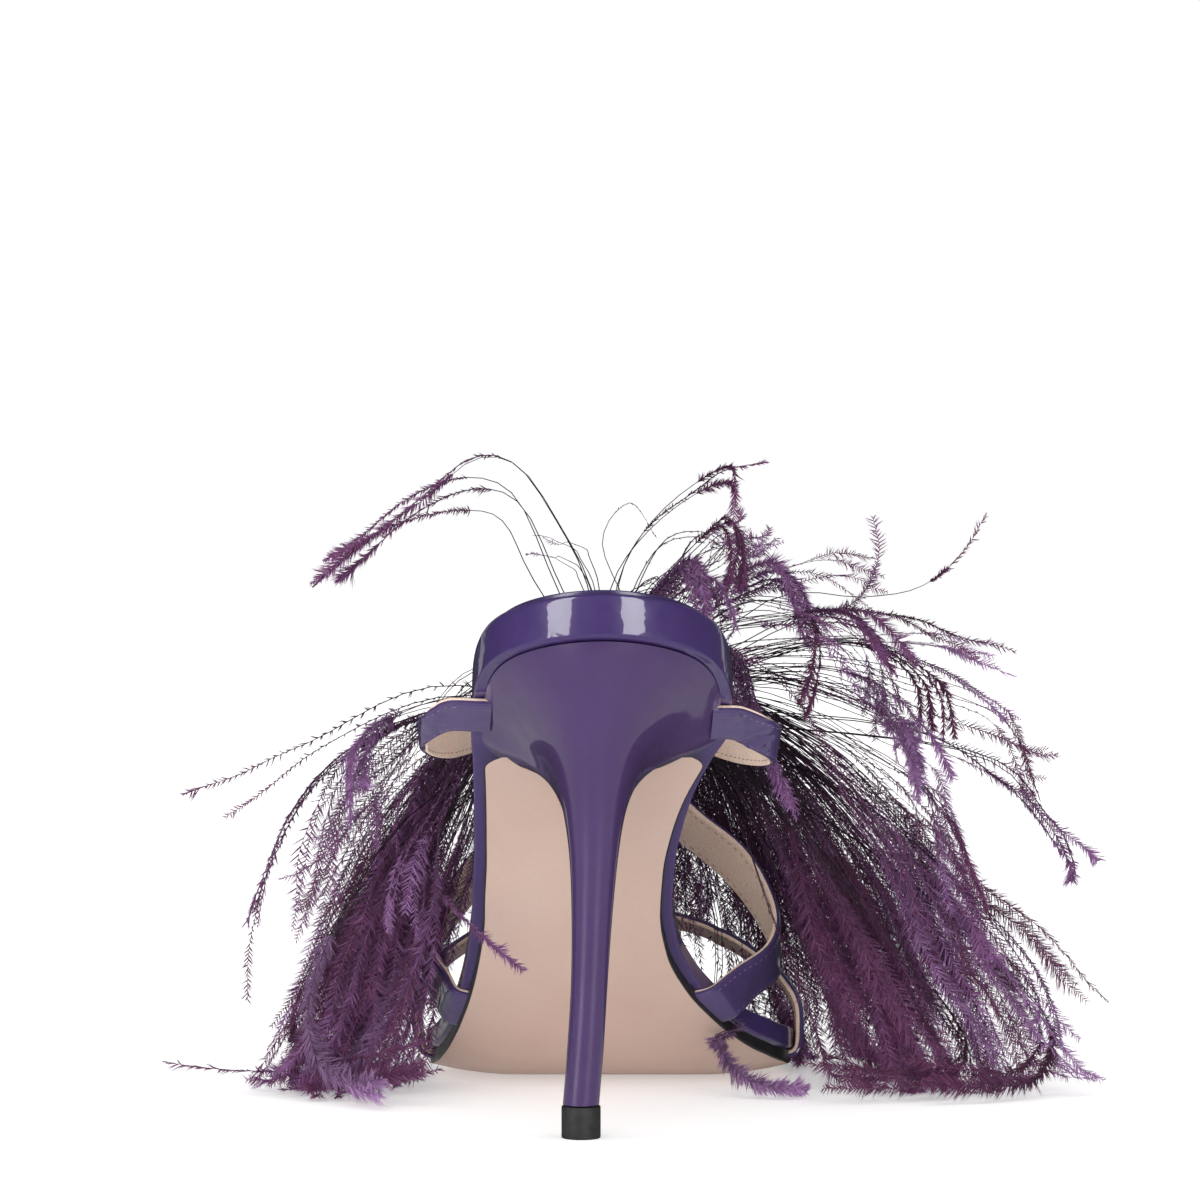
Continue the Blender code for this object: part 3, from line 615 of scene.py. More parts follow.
def edge_section(high_round, low_round, bulge=0.0):
    """Columns around a slab's section as (side share, inset, height share)."""
    right = []
    for share in np.linspace(0.0, 1.0, ACROSS_STEPS + 1)[1:]:
        right.append((share, low_round[0], 0.0))
    for angle in np.linspace(0, pi / 2, ARC_STEPS + 1)[1:]:
        right.append((1.0, low_round[0] * (1 - sin(angle)), low_round[1] * (1 - cos(angle))))
    for share in np.linspace(0, 1, ARC_STEPS + 1)[1:-1]:
        height = low_round[1] + share * (1 - low_round[1] - high_round[1])
        right.append((1.0, -bulge * sin(pi * share), height))
    for angle in np.linspace(0, pi / 2, ARC_STEPS + 1):
        right.append((1.0, high_round[0] * (1 - cos(angle)), 1 - high_round[1] * (1 - sin(angle))))
    for share in np.linspace(1.0, 0.0, ACROSS_STEPS + 1)[1:-1]:
        right.append((share, high_round[0], 1.0))
    right.append((0.0, high_round[0], 1.0))
    left = [(-share, inset, height) for share, inset, height in right[:-1]][::-1]
    return np.array([(0.0, low_round[0], 0.0)] + right + left)


def slab_points(section, low, high, inset=0.0, start=None):
    """A sole layer over the outline; low, high and inset are functions of y or numbers."""
    share, extra, level = section.T
    read = (lambda value, y: value(y) if callable(value) else value)
    rest_inset = FORE_INSET if callable(inset) else inset
    y = stations(extra + rest_inset, start)
    drawn = read(inset, y) + extra
    x = share * half_width(y, drawn)
    if start is not None:
        corner = np.clip(1 - (y - y[0]) / CORNER_ROUND, 0, 1)
        x = x * (1 - CORNER_EASE * corner ** 2)
    bottom, top = read(low, y), read(high, y)
    return sole_point(y, x, bottom + level * (top - bottom))


def make_sole(skin, sock_skin, leather, paint):
    section = edge_section((0.0009, 0.14), (0.0006, 0.08), bulge=0.00010)
    rim = grid_object("footbed_rim", slab_points(section, 0.0, rim_height), [skin])
    keep(rim, "patent", "insole_platform")
    section = edge_section((0.0005, 0.45), (0.0001, 0.05))
    low = (lambda y: rim_height(y) + CLEARANCE)
    high = (lambda y: rim_height(y) + CLEARANCE + SOCK_THICKNESS)
    sock = grid_object("footbed_cover", slab_points(section, low, high, SOCK_INSET), [sock_skin])
    keep(sock, "sock_patent", "insole_sock")
    section = edge_section((0.0001, 0.05), (0.0004, 0.16))
    share, _, level = section.T
    points = slab_points(section, -CLEARANCE - OUTSOLE_THICKNESS, -CLEARANCE, outsole_inset,
                         BREAST_REACH + CLEARANCE - BREAST_UNDERCUT * (1 - level))
    edge = (np.abs(share) > 0.985) & (level < 0.999)
    edge &= np.roll(edge, -1)
    outsole = grid_object("outsole_leather", points, [leather, paint], edge.astype(int), cap=1)
    outsole.visible_glossy = False
    keep(outsole, "sole_leather", "outsole")


# Heel

def spline(points, count):
    """Sample a smooth open curve through the points, evenly by row."""
    points = np.asarray(points, float)
    padded = np.concatenate(([2 * points[0] - points[1]], points, [2 * points[-1] - points[-2]]))
    place = np.linspace(0, len(points) - 1, count + 1)
    i = np.minimum(place.astype(int), len(points) - 2)
    t = (place - i).reshape((-1,) + (1,) * (points.ndim - 1))
    a, b, c, d = padded[i], padded[i + 1], padded[i + 2], padded[i + 3]
    return 0.5 * (2 * b + (c - a) * t + (2 * a - 5 * b + 4 * c - d) * t ** 2
                  + (3 * b - 3 * c + d - a) * t ** 3)


def heel_ring(level):
    """One ring of the heel: its back, its inner side, the breast and the outer side."""
    seat_start = SEAT_BACK + WAIST_INSET
    stem_foot = TOP_LIFT_HEIGHT + CLEARANCE
    top_gap = -CLEARANCE
    back_y = -STEM_DEPTH / 2 + level.back_spread * (seat_start + STEM_DEPTH / 2)
    breast_y = STEM_DEPTH / 2 + level.breast_spread * (BREAST_REACH - STEM_DEPTH / 2)
    top_back = sole_point(seat_start, 0.0, top_gap)[2]
    top_breast = sole_point(BREAST_REACH, 0.0, top_gap)[2]
    back_z = top_back + level.back_drop * (stem_foot - top_back)
    breast_z = top_breast + level.breast_drop * (stem_foot - top_breast)

    def side_points(angle):
        share = (1 - np.cos(angle)) / 2
        seat_y = seat_start + share * (BREAST_REACH - seat_start)
        seat_half = half_width(seat_y, WAIST_INSET)
        stem_half = STEM_WIDTH / 2 * np.sin(angle)
        half = stem_half + level.width_spread * (seat_half - stem_half)
        corner = np.clip((share - CORNER_START) / (CORNER_END - CORNER_START), 0, 1)
        half = half * (1 - CORNER_EASE * corner ** 2)
        centre = level.lean * middle(seat_y)
        seat_place = sole_point(seat_y, 0.0, top_gap)
        follow = level.width_spread
        line_y = back_y + share * (breast_y - back_y)
        line_z = back_z + share * (breast_z - back_z)
        bow = (seat_place[..., 2] - (top_back + share * (top_breast - top_back))) * follow
        shift = (seat_place[..., 1] - seat_y) * follow
        return centre, half, line_y + shift, line_z + bow

    angle = pi * np.linspace(RING_START, RING_END, HEEL_PAIRS + 1)
    centre, half, y, z = side_points(angle)
    right = np.stack((centre + half, y, z), axis=-1)
    left = np.stack((centre - half, y, z), axis=-1)
    corner = side_points(np.array([pi * RING_END]))
    front = side_points(np.array([pi]))
    span = np.linspace(1, -1, BREAST_COLUMNS)
    breast = np.stack((front[0] + span * corner[1] * (1 - BREAST_BEVEL),
                       np.full(BREAST_COLUMNS, front[2][0]),
                       np.full(BREAST_COLUMNS, front[3][0])), axis=-1)
    return np.concatenate((right, breast, left[::-1]))


def make_heel(skin, tip):
    rows = spline([list(level) for level in HEEL_LEVELS], HEEL_RINGS)
    points = soften(np.array([heel_ring(Level(*row)) for row in rows]), 24)
    heel = grid_object("heel_cover", points, [skin], sharp=40)
    keep(heel, "patent", "heel")
    rings = []
    foot = heel_ring(HEEL_LEVELS[-1])[:, :2]
    grow = 1 + TOP_LIFT_FLARE / STEM_WIDTH * 2
    for height, ease in ((1.0, 0.955), (0.985, 0.985), (0.94, 1.0), (0.5, 1.0),
                         (0.06, 1.0), (0.015, 0.99), (0.0, 0.96)):
        ring = foot * grow * ease
        rings.append(np.column_stack((ring, np.full(len(ring), height * TOP_LIFT_HEIGHT))))
    lift = grid_object("heel_tip", np.array(rings), [tip], sharp=40)
    keep(lift, "top_lift_rubber", "top_lift")


# Straps

def share_point(place):
    """A place given as shares of the ball's width, the reach and the heel height."""
    across, along_share, up = place
    return np.array((across * BALL_WIDTH, SEAT_BACK + along_share * SHOE_REACH, up * HEEL_HEIGHT))


def root_rows(root, thickness):
    """The tongue of a strap under the footbed, from its end to just outside the edge."""
    rows = []
    for depth in (TONGUE_DEPTH, 0.0, -TONGUE_OUTREACH):
        edges = []
        for share in (root.back_along, root.front_along):
            y = SEAT_BACK + share * SHOE_REACH
            offset = root.side * (half_width(y) - RIM_EDGE_ROUND - depth)
            edges.append(sole_point(y, offset, -CLEARANCE - thickness / 2))
        rows.append(edges)
    return rows


def strap_edges(table, count):
    """Both edges of a strap as smooth curves, with the tongues at its two ends."""
    rows = []
    for number, row in enumerate(table):
        if isinstance(row, Root):
            tongue = root_rows(row, STRAP_THICKNESS)
            rows.extend(tongue if number == 0 else tongue[::-1])
        else:
            rows.append([share_point(row.back), share_point(row.front)])
    both = spline(np.array(rows), count)
    return both[:, 0], both[:, 1]


def strap_section():
    """Around a strap: (across, out, slot), patent outside with rolled edges, lining within."""
    half, skin = STRAP_WIDTH / 2, STRAP_THICKNESS / 2
    rows = []
    for place in np.linspace(-1, 1, 45):
        a = place * (half - ROLLED_EDGE)
        edge = half - abs(a)
        groove = GROOVE_DEPTH * np.exp(-((edge - GROOVE_INSET) / 0.00022) ** 2)
        drop = ROLL_DROP * np.exp(-((edge - ROLLED_EDGE) / 0.00030) ** 2)
        rows.append((a, skin - groove - drop, 0))
    side = [(half - 0.0001 * abs(b), b * skin, 0) for b in (0.55, 0.20, -0.15)]
    side += [(half - 0.00012, b * skin, 1) for b in (-0.40, -0.75)]
    rows += side
    for place in np.linspace(1, -1, 25):
        a = place * (half - LINING_INSET)
        edge = half - abs(a)
        seam = 0.00010 * np.exp(-((edge - SEAM_INSET) / 0.00025) ** 2)
        rows.append((a, -skin + seam, 1))
    return rows + [(-a, b, slot) for a, b, slot in side[::-1]]


def crease_field(creases, s, a):
    """How far the strap sinks at s along it and a across it, both in millimetres."""
    sink = np.zeros(np.broadcast(s, a).shape)
    for c in creases:
        start = np.array((c.along_a, c.across_a))
        run = np.array((c.along_b, c.across_b)) - start
        length = run @ run
        t = np.clip(((s - start[0]) * run[0] + (a - start[1]) * run[1]) / length, 0, 1)
        gap = np.hypot(s - start[0] - t * run[0], a - start[1] - t * run[1])
        sink += c.depth * np.exp(-(gap / c.breadth) ** 2)
    return sink


def even_steps(back, front):
    """Both edges read again at even steps along the strap."""
    steps = np.linalg.norm(np.diff((back + front) / 2, axis=0), axis=1)
    place = np.concatenate(([0.0], np.cumsum(steps)))
    even = np.linspace(0, place[-1], STRAP_STEPS + 1)
    return [np.stack([np.interp(even, place, axis) for axis in edge.T], axis=1)
            for edge in (back, front)]


def soften(curve, passes=30):
    """Ease the bends of a curve without moving its ends."""
    curve = curve.copy()
    for _ in range(passes):
        curve[1:-1] = (curve[:-2] + 2 * curve[1:-1] + curve[2:]) / 4
    return curve


class Strap:
    """The frame of a strap: its middle line, its directions and its creases."""

    def __init__(self, table, creases, lift=0.0, lift_at=0.0):
        back, front = even_steps(*strap_edges(table, 2 * STRAP_STEPS))
        back, front = soften(back), soften(front)
        self.centres = (back + front) / 2
        widths = front - back
        self.widths = widths / np.linalg.norm(widths, axis=1)[:, None]
        tangents = np.gradient(self.centres, axis=0)
        self.tangents = tangents / np.linalg.norm(tangents, axis=1)[:, None]
        normals = np.cross(tangents, widths) * -table[0].side
        self.normals = normals / np.linalg.norm(normals, axis=1)[:, None]
        steps = np.linalg.norm(np.diff(self.centres, axis=0), axis=1)
        self.s = np.concatenate(([0.0], np.cumsum(steps))) * 1000
        self.creases = creases
        rise = lift * np.exp(-((self.s - lift_at) / 11.0) ** 2)
        self.centres = self.centres + self.normals * rise[:, None]

    def place(self, a, b):
        """The points at across a and out b at every step along the strap."""
        sink = crease_field(self.creases, self.s, a * 1000) / 1000
        return self.centres + self.widths * a + self.normals * (b - sink)[:, None]

    def points(self):
        section = strap_section()
        return np.stack([self.place(a, b + 0 * self.s) for a, b, _ in section], axis=1)


def make_strap(name, strap, skin, lining):
    """One strap of patent leather with its lining."""
    pick = np.array([slot for _, _, slot in strap_section()])
    return grid_object(name, strap.points(), [skin, lining], pick, sharp=55)


def nearest(first, second):
    """The indices of the two closest points of two curves."""
    gaps = np.linalg.norm(first[:, None] - second[None], axis=2)
    return np.unravel_index(np.argmin(gaps), gaps.shape)


def stitch_row(strap, edge, out, pitch=2.1, length=1.35, radius=0.00013, margin=7.0):
    """Small slanted stitches at a place across the strap, as rings of points."""
    stitches = []
    starts = np.arange(margin, strap.s[-1] - margin, pitch)
    for start in starts:
        rings = []
        for t, swell, dip in ((0.0, 0.35, 1.0), (0.25, 1.0, 0.2), (0.75, 1.0, 0.2), (1.0, 0.35, 1.0)):
            s = start + t * length
            i = int(np.clip(np.searchsorted(strap.s, s), 1, len(strap.s) - 1))
            mix = (s - strap.s[i - 1]) / (strap.s[i] - strap.s[i - 1])
            blend = (lambda row: row[i - 1] * (1 - mix) + row[i] * mix)
            slant = (t - 0.5) * 0.00014
            sink = crease_field(strap.creases, np.array([s]), np.array([edge * 1000]))[0] / 1000
            centre = (blend(strap.centres) + blend(strap.widths) * (edge + slant)
                      + blend(strap.normals) * (out + dip * np.sign(-out) * radius * 0.9 - sink))
            turns = np.linspace(0, 2 * pi, 6, endpoint=False)
            rings.append([centre + radius * swell * (blend(strap.widths) * cos(k)
                                                     + blend(strap.normals) * sin(k)) for k in turns])
        stitches.append(rings)
    return np.array(stitches)


def make_stitching(name, slot, straps, out, material):
    faces, points = [], []
    base = 0
    for strap in straps:
        for edge in (-STRAP_WIDTH / 2 + SEAM_INSET, STRAP_WIDTH / 2 - SEAM_INSET):
            for stitch in stitch_row(strap, edge, out):
                rows, sides = stitch.shape[:2]
                index = base + np.arange(rows * sides).reshape(rows, sides)
                faces += ring_quads(index).tolist() + [index[0][::-1].tolist(), index[-1].tolist()]
                points.append(stitch.reshape(-1, 3))
                base += rows * sides
    mesh = new_mesh(name, np.concatenate(points).tolist(), faces)
    keep(finish_mesh(name, mesh, [material]), slot)


# Feathers

# A spray: the box of its tips, low and high corner in millimetres, its arches as shares of the
# heel height, the curl of its tips in millimetres, the number of strands, where the fluff
# starts and grows dense, the longest barb in millimetres and the barbs on each strand.
Spray = namedtuple("Spray", "low high root_arch tip_arch curl strands bare dense barb barbs")
OUTER_SPRAYS = (
    Spray((-66, 74, -16), (-44, 106, 2), 0.18, 0.34, 14, 58, 0.45, 0.56, 4.8, 600),
    Spray((-67, 72, 4), (-44, 100, 30), 0.20, 0.32, 14, 48, 0.45, 0.62, 4.6, 560),
    Spray((-52, 98, 0), (-36, 118, 40), 0.16, 0.24, 10, 44, 0.44, 0.60, 4.2, 560),
    Spray((-64, 112, -10), (-46, 156, 24), 0.08, 0.34, 12, 48, 0.32, 0.48, 4.4, 560),
    Spray((-62, 80, 36), (-40, 106, 64), 0.16, 0.18, 14, 20, 0.46, 0.72, 3.4, 320),
)
INNER_SPRAYS = (
    Spray((72, 74, -16), (106, 116, 4), 0.07, 0.36, 15, 58, 0.42, 0.56, 4.8, 600),
    Spray((56, 84, -12), (82, 108, 14), 0.07, 0.34, 10, 44, 0.46, 0.64, 4.4, 560),
    Spray((74, 78, 10), (104, 118, 44), 0.08, 0.26, 15, 50, 0.46, 0.66, 4.2, 480),
    Spray((54, 92, 20), (88, 112, 52), 0.08, 0.22, 12, 30, 0.50, 0.78, 3.4, 240),
    Spray((58, 116, -8), (98, 160, 26), 0.06, 0.34, 13, 44, 0.36, 0.54, 4.4, 560),
    Spray((42, 132, -4), (84, 150, 30), 0.06, 0.22, 7, 52, 0.46, 0.72, 3.0, 160),
    Spray((8, 134, 22), (50, 152, 44), 0.06, 0.16, 5, 40, 0.46, 0.76, 2.6, 120),
)
INNER_HIGH_SPRAYS = (
    Spray((60, 88, 44), (102, 112, 76), 0.14, 0.14, 20, 18, 0.30, 0.72, 3.2, 360),
    Spray((64, 92, 70), (102, 112, 98), 0.16, 0.06, 24, 12, 0.30, 0.78, 3.0, 300),
    Spray((30, 92, 92), (84, 114, 120), 0.24, 0.04, 30, 8, 0.30, 0.78, 2.8, 300),
    Spray((30, 108, 70), (74, 132, 110), 0.22, 0.10, 24, 8, 0.30, 0.74, 3.0, 300),
    Spray((47, 134, -12), (70, 152, 6), 0.08, 0.48, 8, 52, 0.40, 0.60, 4.2, 480),
    Spray((14, 142, 8), (46, 166, 44), 0.10, 0.20, 6, 36, 0.30, 0.50, 3.6, 400),
)
CREST_SPRAYS = (
    Spray((18, 84, 106), (44, 104, 128), 0.34, 0.02, 20, 10, 0.30, 0.80, 2.6, 240),
    Spray((22, 84, 96), (46, 100, 118), 0.30, 0.04, 18, 14, 0.30, 0.74, 2.8, 280),
    Spray((-10, 88, 114), (18, 104, 128), 0.34, 0.02, 5, 4, 0.60, 0.94, 0.9, 80),
    Spray((-28, 140, 18), (0, 172, 40), 0.16, 0.26, 7, 40, 0.26, 0.46, 4.2, 560),
    Spray((0, 140, 18), (26, 174, 40), 0.18, 0.28, 7, 40, 0.26, 0.46, 4.2, 560),
    Spray((24, 140, 18), (50, 172, 40), 0.16, 0.26, 7, 40, 0.26, 0.46, 4.2, 560),
)

# A wisp: places along one loose strand in millimetres, how many strands follow it, their
# spread at the tip in millimetres, then the fluff as for a spray and, for some, the tint.
Wisp = namedtuple("Wisp", "places strands spread bare dense barb barbs tint", defaults=(None,))
OUTER_WISPS = (
    Wisp(((-34, 100, 88), (-62, 98, 76), (-80, 96, 69), (-97, 94, 64)), 1, 0.5, 0.20, 0.80, 3.6, 320),
    Wisp(((-32, 100, 86), (-58, 98, 75), (-70, 96, 66), (-79, 94, 60)), 1, 0.5, 0.20, 0.80, 3.4, 320),
    Wisp(((-34, 98, 82), (-56, 92, 71), (-69, 88, 53), (-75, 86, 35), (-77, 85, 19)),
         1, 0.8, 0.20, 0.86, 3.4, 420),
    Wisp(((-30, 98, 84), (-52, 92, 76), (-66, 88, 62), (-74, 86, 46), (-79, 86, 34)),
         3, 2.0, 0.20, 0.72, 3.6, 420),
    Wisp(((-30, 98, 84), (-50, 92, 74), (-58, 88, 56), (-60, 86, 40)),
         3, 2.0, 0.24, 0.60, 3.8, 420, 0.6),
    Wisp(((-24, 98, 86), (-42, 92, 82), (-51, 88, 74), (-53, 86, 62)),
         4, 2.2, 0.48, 0.66, 3.8, 560, 0.8),
    Wisp(((-36, 92, 30), (-56, 88, 7), (-74, 86, 3), (-94, 84, 5)), 1, 0.8, 0.30, 0.80, 3.2, 420),
    Wisp(((-40, 88, 60), (-60, 80, 26), (-60, 70, 9), (-52, 58, 3), (-45, 49, 2)),
         2, 0.8, 0.38, 0.52, 6.2, 900),
    Wisp(((-44, 90, 50), (-64, 88, 16), (-58, 80, 3), (-47, 66, 2), (-35, 62, 3)),
         5, 2.0, 0.40, 0.52, 5.0, 700),
    Wisp(((-36, 86, 60), (-34, 68, 50), (-24, 60, 38), (-14, 57, 29)),
         1, 0.5, 0.56, 0.70, 3.0, 560, 0.6),
)
INNER_WISPS = (
    Wisp(((44, 92, 62), (82, 84, 16), (84, 76, 4), (70, 68, 2), (54, 64, 3)),
         3, 2.4, 0.40, 0.52, 4.2, 700),
    Wisp(((60, 92, 56), (100, 84, 20), (100, 76, 4), (88, 66, 2), (74, 62, 3)),
         3, 2.4, 0.40, 0.52, 4.2, 700),
    Wisp(((60, 96, 66), (94, 88, 36), (106, 84, 18), (108, 80, 8)), 3, 1.8, 0.36, 0.80, 3.4, 420),
    Wisp(((70, 98, 80), (94, 92, 68), (106, 90, 57), (112, 88, 51)), 2, 1.0, 0.36, 0.80, 3.4, 420),
    Wisp(((84, 98, 76), (104, 92, 61), (113, 90, 50), (118, 88, 44)), 2, 1.0, 0.36, 0.80, 3.2, 420),
    Wisp(((24, 136, 58), (31, 130, 34), (30, 98, 15), (31, 88, 9),
          (34, 80, 4), (39, 74, 0), (46, 71, -3), (52, 71, -5)),
         3, 0.2, 0.42, 0.48, 4.8, 900, 0.95),
)
INNER_HIGH_WISPS = (
    Wisp(((40, 103, 108), (62, 103, 109), (77, 102, 112), (89, 101, 121), (97, 101, 131)),
         1, 0.5, 0.60, 0.70, 2.4, 420),
    Wisp(((48, 101, 104), (70, 96, 105), (84, 93, 100), (96, 90, 97)), 2, 1.5, 0.40, 0.74, 2.6, 420),
    Wisp(((44, 103, 98), (66, 100, 98), (80, 97, 90), (84, 96, 78)), 4, 2.2, 0.50, 0.70, 3.6, 560),
    Wisp(((42, 98, 92), (62, 93, 90), (76, 88, 78), (82, 84, 66)), 4, 2.6, 0.44, 0.68, 3.6, 560),
    Wisp(((55, 102, 100), (77, 100, 95), (90, 100, 88), (99, 100, 82)), 2, 1.2, 0.40, 0.80, 2.4, 420),
    Wisp(((26, 97, 100), (44, 95, 104), (60, 92, 108), (66, 90, 118), (65, 88, 128)),
         1, 1.2, 0.50, 0.76, 2.8, 420),
    Wisp(((24, 99, 100), (38, 96, 108), (52, 95, 104), (53, 94, 92), (52, 96, 84)),
         2, 1.4, 0.50, 0.70, 3.2, 560),
    Wisp(((26, 96, 98), (35, 90, 95), (38, 84, 86), (42, 80, 75), (48, 78, 62)),
         4, 1.4, 0.24, 0.44, 3.6, 560, 0.9),
    Wisp(((24, 97, 98), (33, 91, 93), (37, 86, 84), (38, 83, 76)), 5, 1.8, 0.24, 0.40, 3.4, 560, 0.9),
    Wisp(((14, 95, 102), (20, 88, 112), (27, 84, 116), (31, 82, 107)),
         6, 2.8, 0.34, 0.54, 3.8, 560, 0.8),
    Wisp(((14, 99, 100), (34, 96, 112), (46, 94, 116), (53, 93, 104)),
         5, 2.6, 0.44, 0.62, 3.6, 560, 0.6),
    Wisp(((20, 98, 98), (46, 93, 104), (62, 88, 104), (72, 86, 94)), 5, 2.8, 0.50, 0.70, 3.6, 560, 0.6),
)
CREST_WISPS = (
    Wisp(((2, 91, 111), (-5, 86, 126), (-14, 84, 139), (-24, 82, 141), (-36, 80, 132), (-50, 79, 122),
          (-60, 78, 114)), 2, 2.4, 0.54, 0.74, 3.6, 700, 0.6),
    Wisp(((-5, 93, 111), (-14, 90, 130), (-25, 89, 134), (-38, 89, 129), (-50, 89, 119), (-57, 90, 114)),
         2, 2.4, 0.46, 0.72, 3.6, 700, 0.6),
    Wisp(((-9, 90, 112), (-16, 84, 125), (-26, 80, 127), (-41, 77, 123), (-53, 74, 116)),
         1, 1.0, 0.46, 0.74, 3.0, 560, 0.5),
    Wisp(((8, 93, 112), (14, 90, 124), (24, 88, 132), (32, 88, 137), (42, 88, 139)),
         1, 1.0, 0.30, 0.80, 2.4, 420),
    Wisp(((8, 91, 112), (16, 87, 126), (28, 84, 136), (35, 83, 138), (36, 81, 130)),
         2, 1.0, 0.60, 0.80, 3.4, 420),
    Wisp(((14, 93, 108), (26, 90, 122), (33, 89, 127), (36, 89, 120), (34, 88, 112)),
         3, 1.6, 0.46, 0.72, 3.2, 560),
    Wisp(((10, 92, 104), (4, 87, 122), (10, 83, 132), (16, 81, 124)), 1, 1.0, 0.70, 0.95, 1.2, 80),
)
BARB_GROUP = 4
CLUMP = 4
SHAFT_RADIUS = 0.00013
SHAFT_TIP_RADIUS = 0.00003
BARB_HALF_WIDTH = 0.00010
LOOSE_BARB_HALF_WIDTH = 0.00015
ROOT_SCATTER = 0.0013
TIP_SCATTER = 0.0022
CLUMP_SWING = 0.0070
STRAND_SWING = 0.0016
WISP_SWING = 0.0010
OUTER_LIMIT = -0.104
INNER_LIMIT = 0.124


def unit(vectors):
    return vectors / np.linalg.norm(vectors, axis=-1, keepdims=True)


def settle(paths, rng):
    """Lay the paths down softly on the floor and keep them within the feathers' spread."""
    ground = rng.uniform(0.0006, 0.0034, (len(paths), 1))
    softness = 0.0013
    paths[..., 2] = ground + softness * np.logaddexp(0.0, (paths[..., 2] - ground) / softness)
    x, y, z = np.moveaxis(paths, -1, 0)
    floor_gap = z - base_height(y)
    offset, reach = x - middle(y), half_width(y) + 0.002
    inside = (np.abs(offset) < reach) & (floor_gap > -0.004) & (floor_gap < 0.008)
    x = np.where(inside, middle(y) + np.sign(offset) * reach, x)
    paths[..., 0] = np.clip(x, OUTER_LIMIT, INNER_LIMIT)
    return paths


def waves(paths, count, size, rng):
    """Slow sideways swings that grow towards the tips, shared by each clump of strands."""
    n, steps = paths.shape[:2]
    t = np.linspace(0, 1, steps)[None, :, None]
    groups = -(-n // count)
    for turns in (0.8, 1.9, 3.4):
        swing = np.repeat(unit(rng.normal(0, 1, (groups, 1, 3))), count, axis=0)[:n]
        reach = np.repeat(rng.uniform(0.3, 1.0, (groups, 1, 1)), count, axis=0)[:n] * size / turns
        phase = np.repeat(rng.uniform(0, 2 * pi, (groups, 1, 1)), count, axis=0)[:n]
        paths = paths + swing * reach * t ** 1.3 * np.sin(turns * 2 * pi * t + phase)
    return paths


def spray_paths(spray, root, outward, rng):
    """Curves from the bunch's root to the tips of a spray, with curled ends."""
    n = spray.strands
    groups = -(-n // CLUMP)
    share = (lambda rows: np.repeat(rows, CLUMP, axis=0)[:n])
    tips = share(rng.uniform(spray.low, spray.high, (groups, 3)) / 1000)
    tips = tips + rng.normal(0, TIP_SCATTER, (n, 3))
    roots = root + rng.normal(0, ROOT_SCATTER, (n, 3))
    away = tips - roots
    away[:, 2] = 0.0
    up = np.array((0.0, 0.0, HEEL_HEIGHT))
    root_arch = spray.root_arch * share(rng.uniform(0.6, 1.5, (groups, 1)))
    root_arch = root_arch * rng.uniform(0.85, 1.15, (n, 1))
    tip_arch = spray.tip_arch * share(rng.uniform(0.6, 1.3, (groups, 1)))
    tip_arch = tip_arch * rng.uniform(0.9, 1.1, (n, 1))
    start_bend = roots + 0.38 * away + root_arch * up + outward * PLUME_STANDOFF
    end_bend = tips - 0.16 * away + tip_arch * up
    t = np.linspace(0, 1, SHAFT_STEPS + 1)[None, :, None]
    paths = ((1 - t) ** 3 * roots[:, None] + 3 * t * (1 - t) ** 2 * start_bend[:, None]
             + 3 * t * t * (1 - t) * end_bend[:, None] + t ** 3 * tips[:, None])
    paths = waves(paths, CLUMP, CLUMP_SWING, rng)
    paths = waves(paths, 1, STRAND_SWING, rng)
    bend = share(unit(rng.normal(0, 1, (groups, 3)) + np.array((0, 0, -0.3))))
    bend = unit(bend + rng.normal(0, 0.22, (n, 3)))
    reach = spray.curl / 1000 * share(rng.uniform(0.2, 1.0, (groups, 1)))
    curl = np.clip((t - 0.50) / 0.50, 0, 1) ** 2
    return settle(paths + bend[:, None] * reach[:, None] * curl, rng)


def wisp_paths(wisp, root, rng):
    """Curves of loose strands along a wisp's own places."""
    middle_line = spline(np.concatenate(([root], np.array(wisp.places) / 1000)), SHAFT_STEPS)
    steps = np.linspace(0, 1, SHAFT_STEPS + 1)[None, :, None]
    scatter = rng.normal(0, wisp.spread / 1000, (wisp.strands, 1, 3)) * steps ** 0.8
    jitter = rng.normal(0, 0.0009, (wisp.strands, 1, 3)) * (1 - steps)
    stretch = 1 + rng.uniform(-0.10, 0.02, (wisp.strands, 1, 1)) * steps ** 2
    paths = root + (middle_line[None] - root) * stretch + scatter + jitter
    return settle(waves(paths, 1, WISP_SWING, rng), rng)


def shaft_mesh(paths, tint, rng):
    """Thin tapered three-sided shafts along the paths."""
    n, steps = paths.shape[:2]
    t = np.linspace(0, 1, steps)
    tangents = unit(np.gradient(paths, axis=1))
    across = unit(np.cross(tangents, unit(rng.normal(0, 1, (n, 1, 3)))))
    thin = np.cross(tangents, across)
    radius = (SHAFT_RADIUS * (1 - t) ** 0.7 + SHAFT_TIP_RADIUS)[None, :, None]
    rings = [paths + radius * (across * cos(a) + thin * sin(a))
             for a in np.linspace(0, 2 * pi, SHAFT_SIDES, endpoint=False)]
    points = np.stack(rings, axis=2)
    faces = ring_triangles(np.arange(n * steps * SHAFT_SIDES).reshape(n, steps, SHAFT_SIDES))
    tone = np.zeros((n, steps, SHAFT_SIDES, 4))
    tone[..., 0] = t[None, :, None]
    tone[..., 1] = tint[:, None, None]
    tone[..., 3] = 1.0
    return points.reshape(-1, 3), faces, tone.reshape(-1, 4), across


def read_along(values, u):
    """Values at places u (0 to 1) along each strand."""
    steps = values.shape[1] - 1
    place = np.clip(u, 0, 1) * steps
    i = np.minimum(place.astype(int), steps - 1)
    mix = (place - i)[..., None]
    row = np.arange(len(values))[:, None]
    return values[row, i] * (1 - mix) + values[row, i + 1] * mix


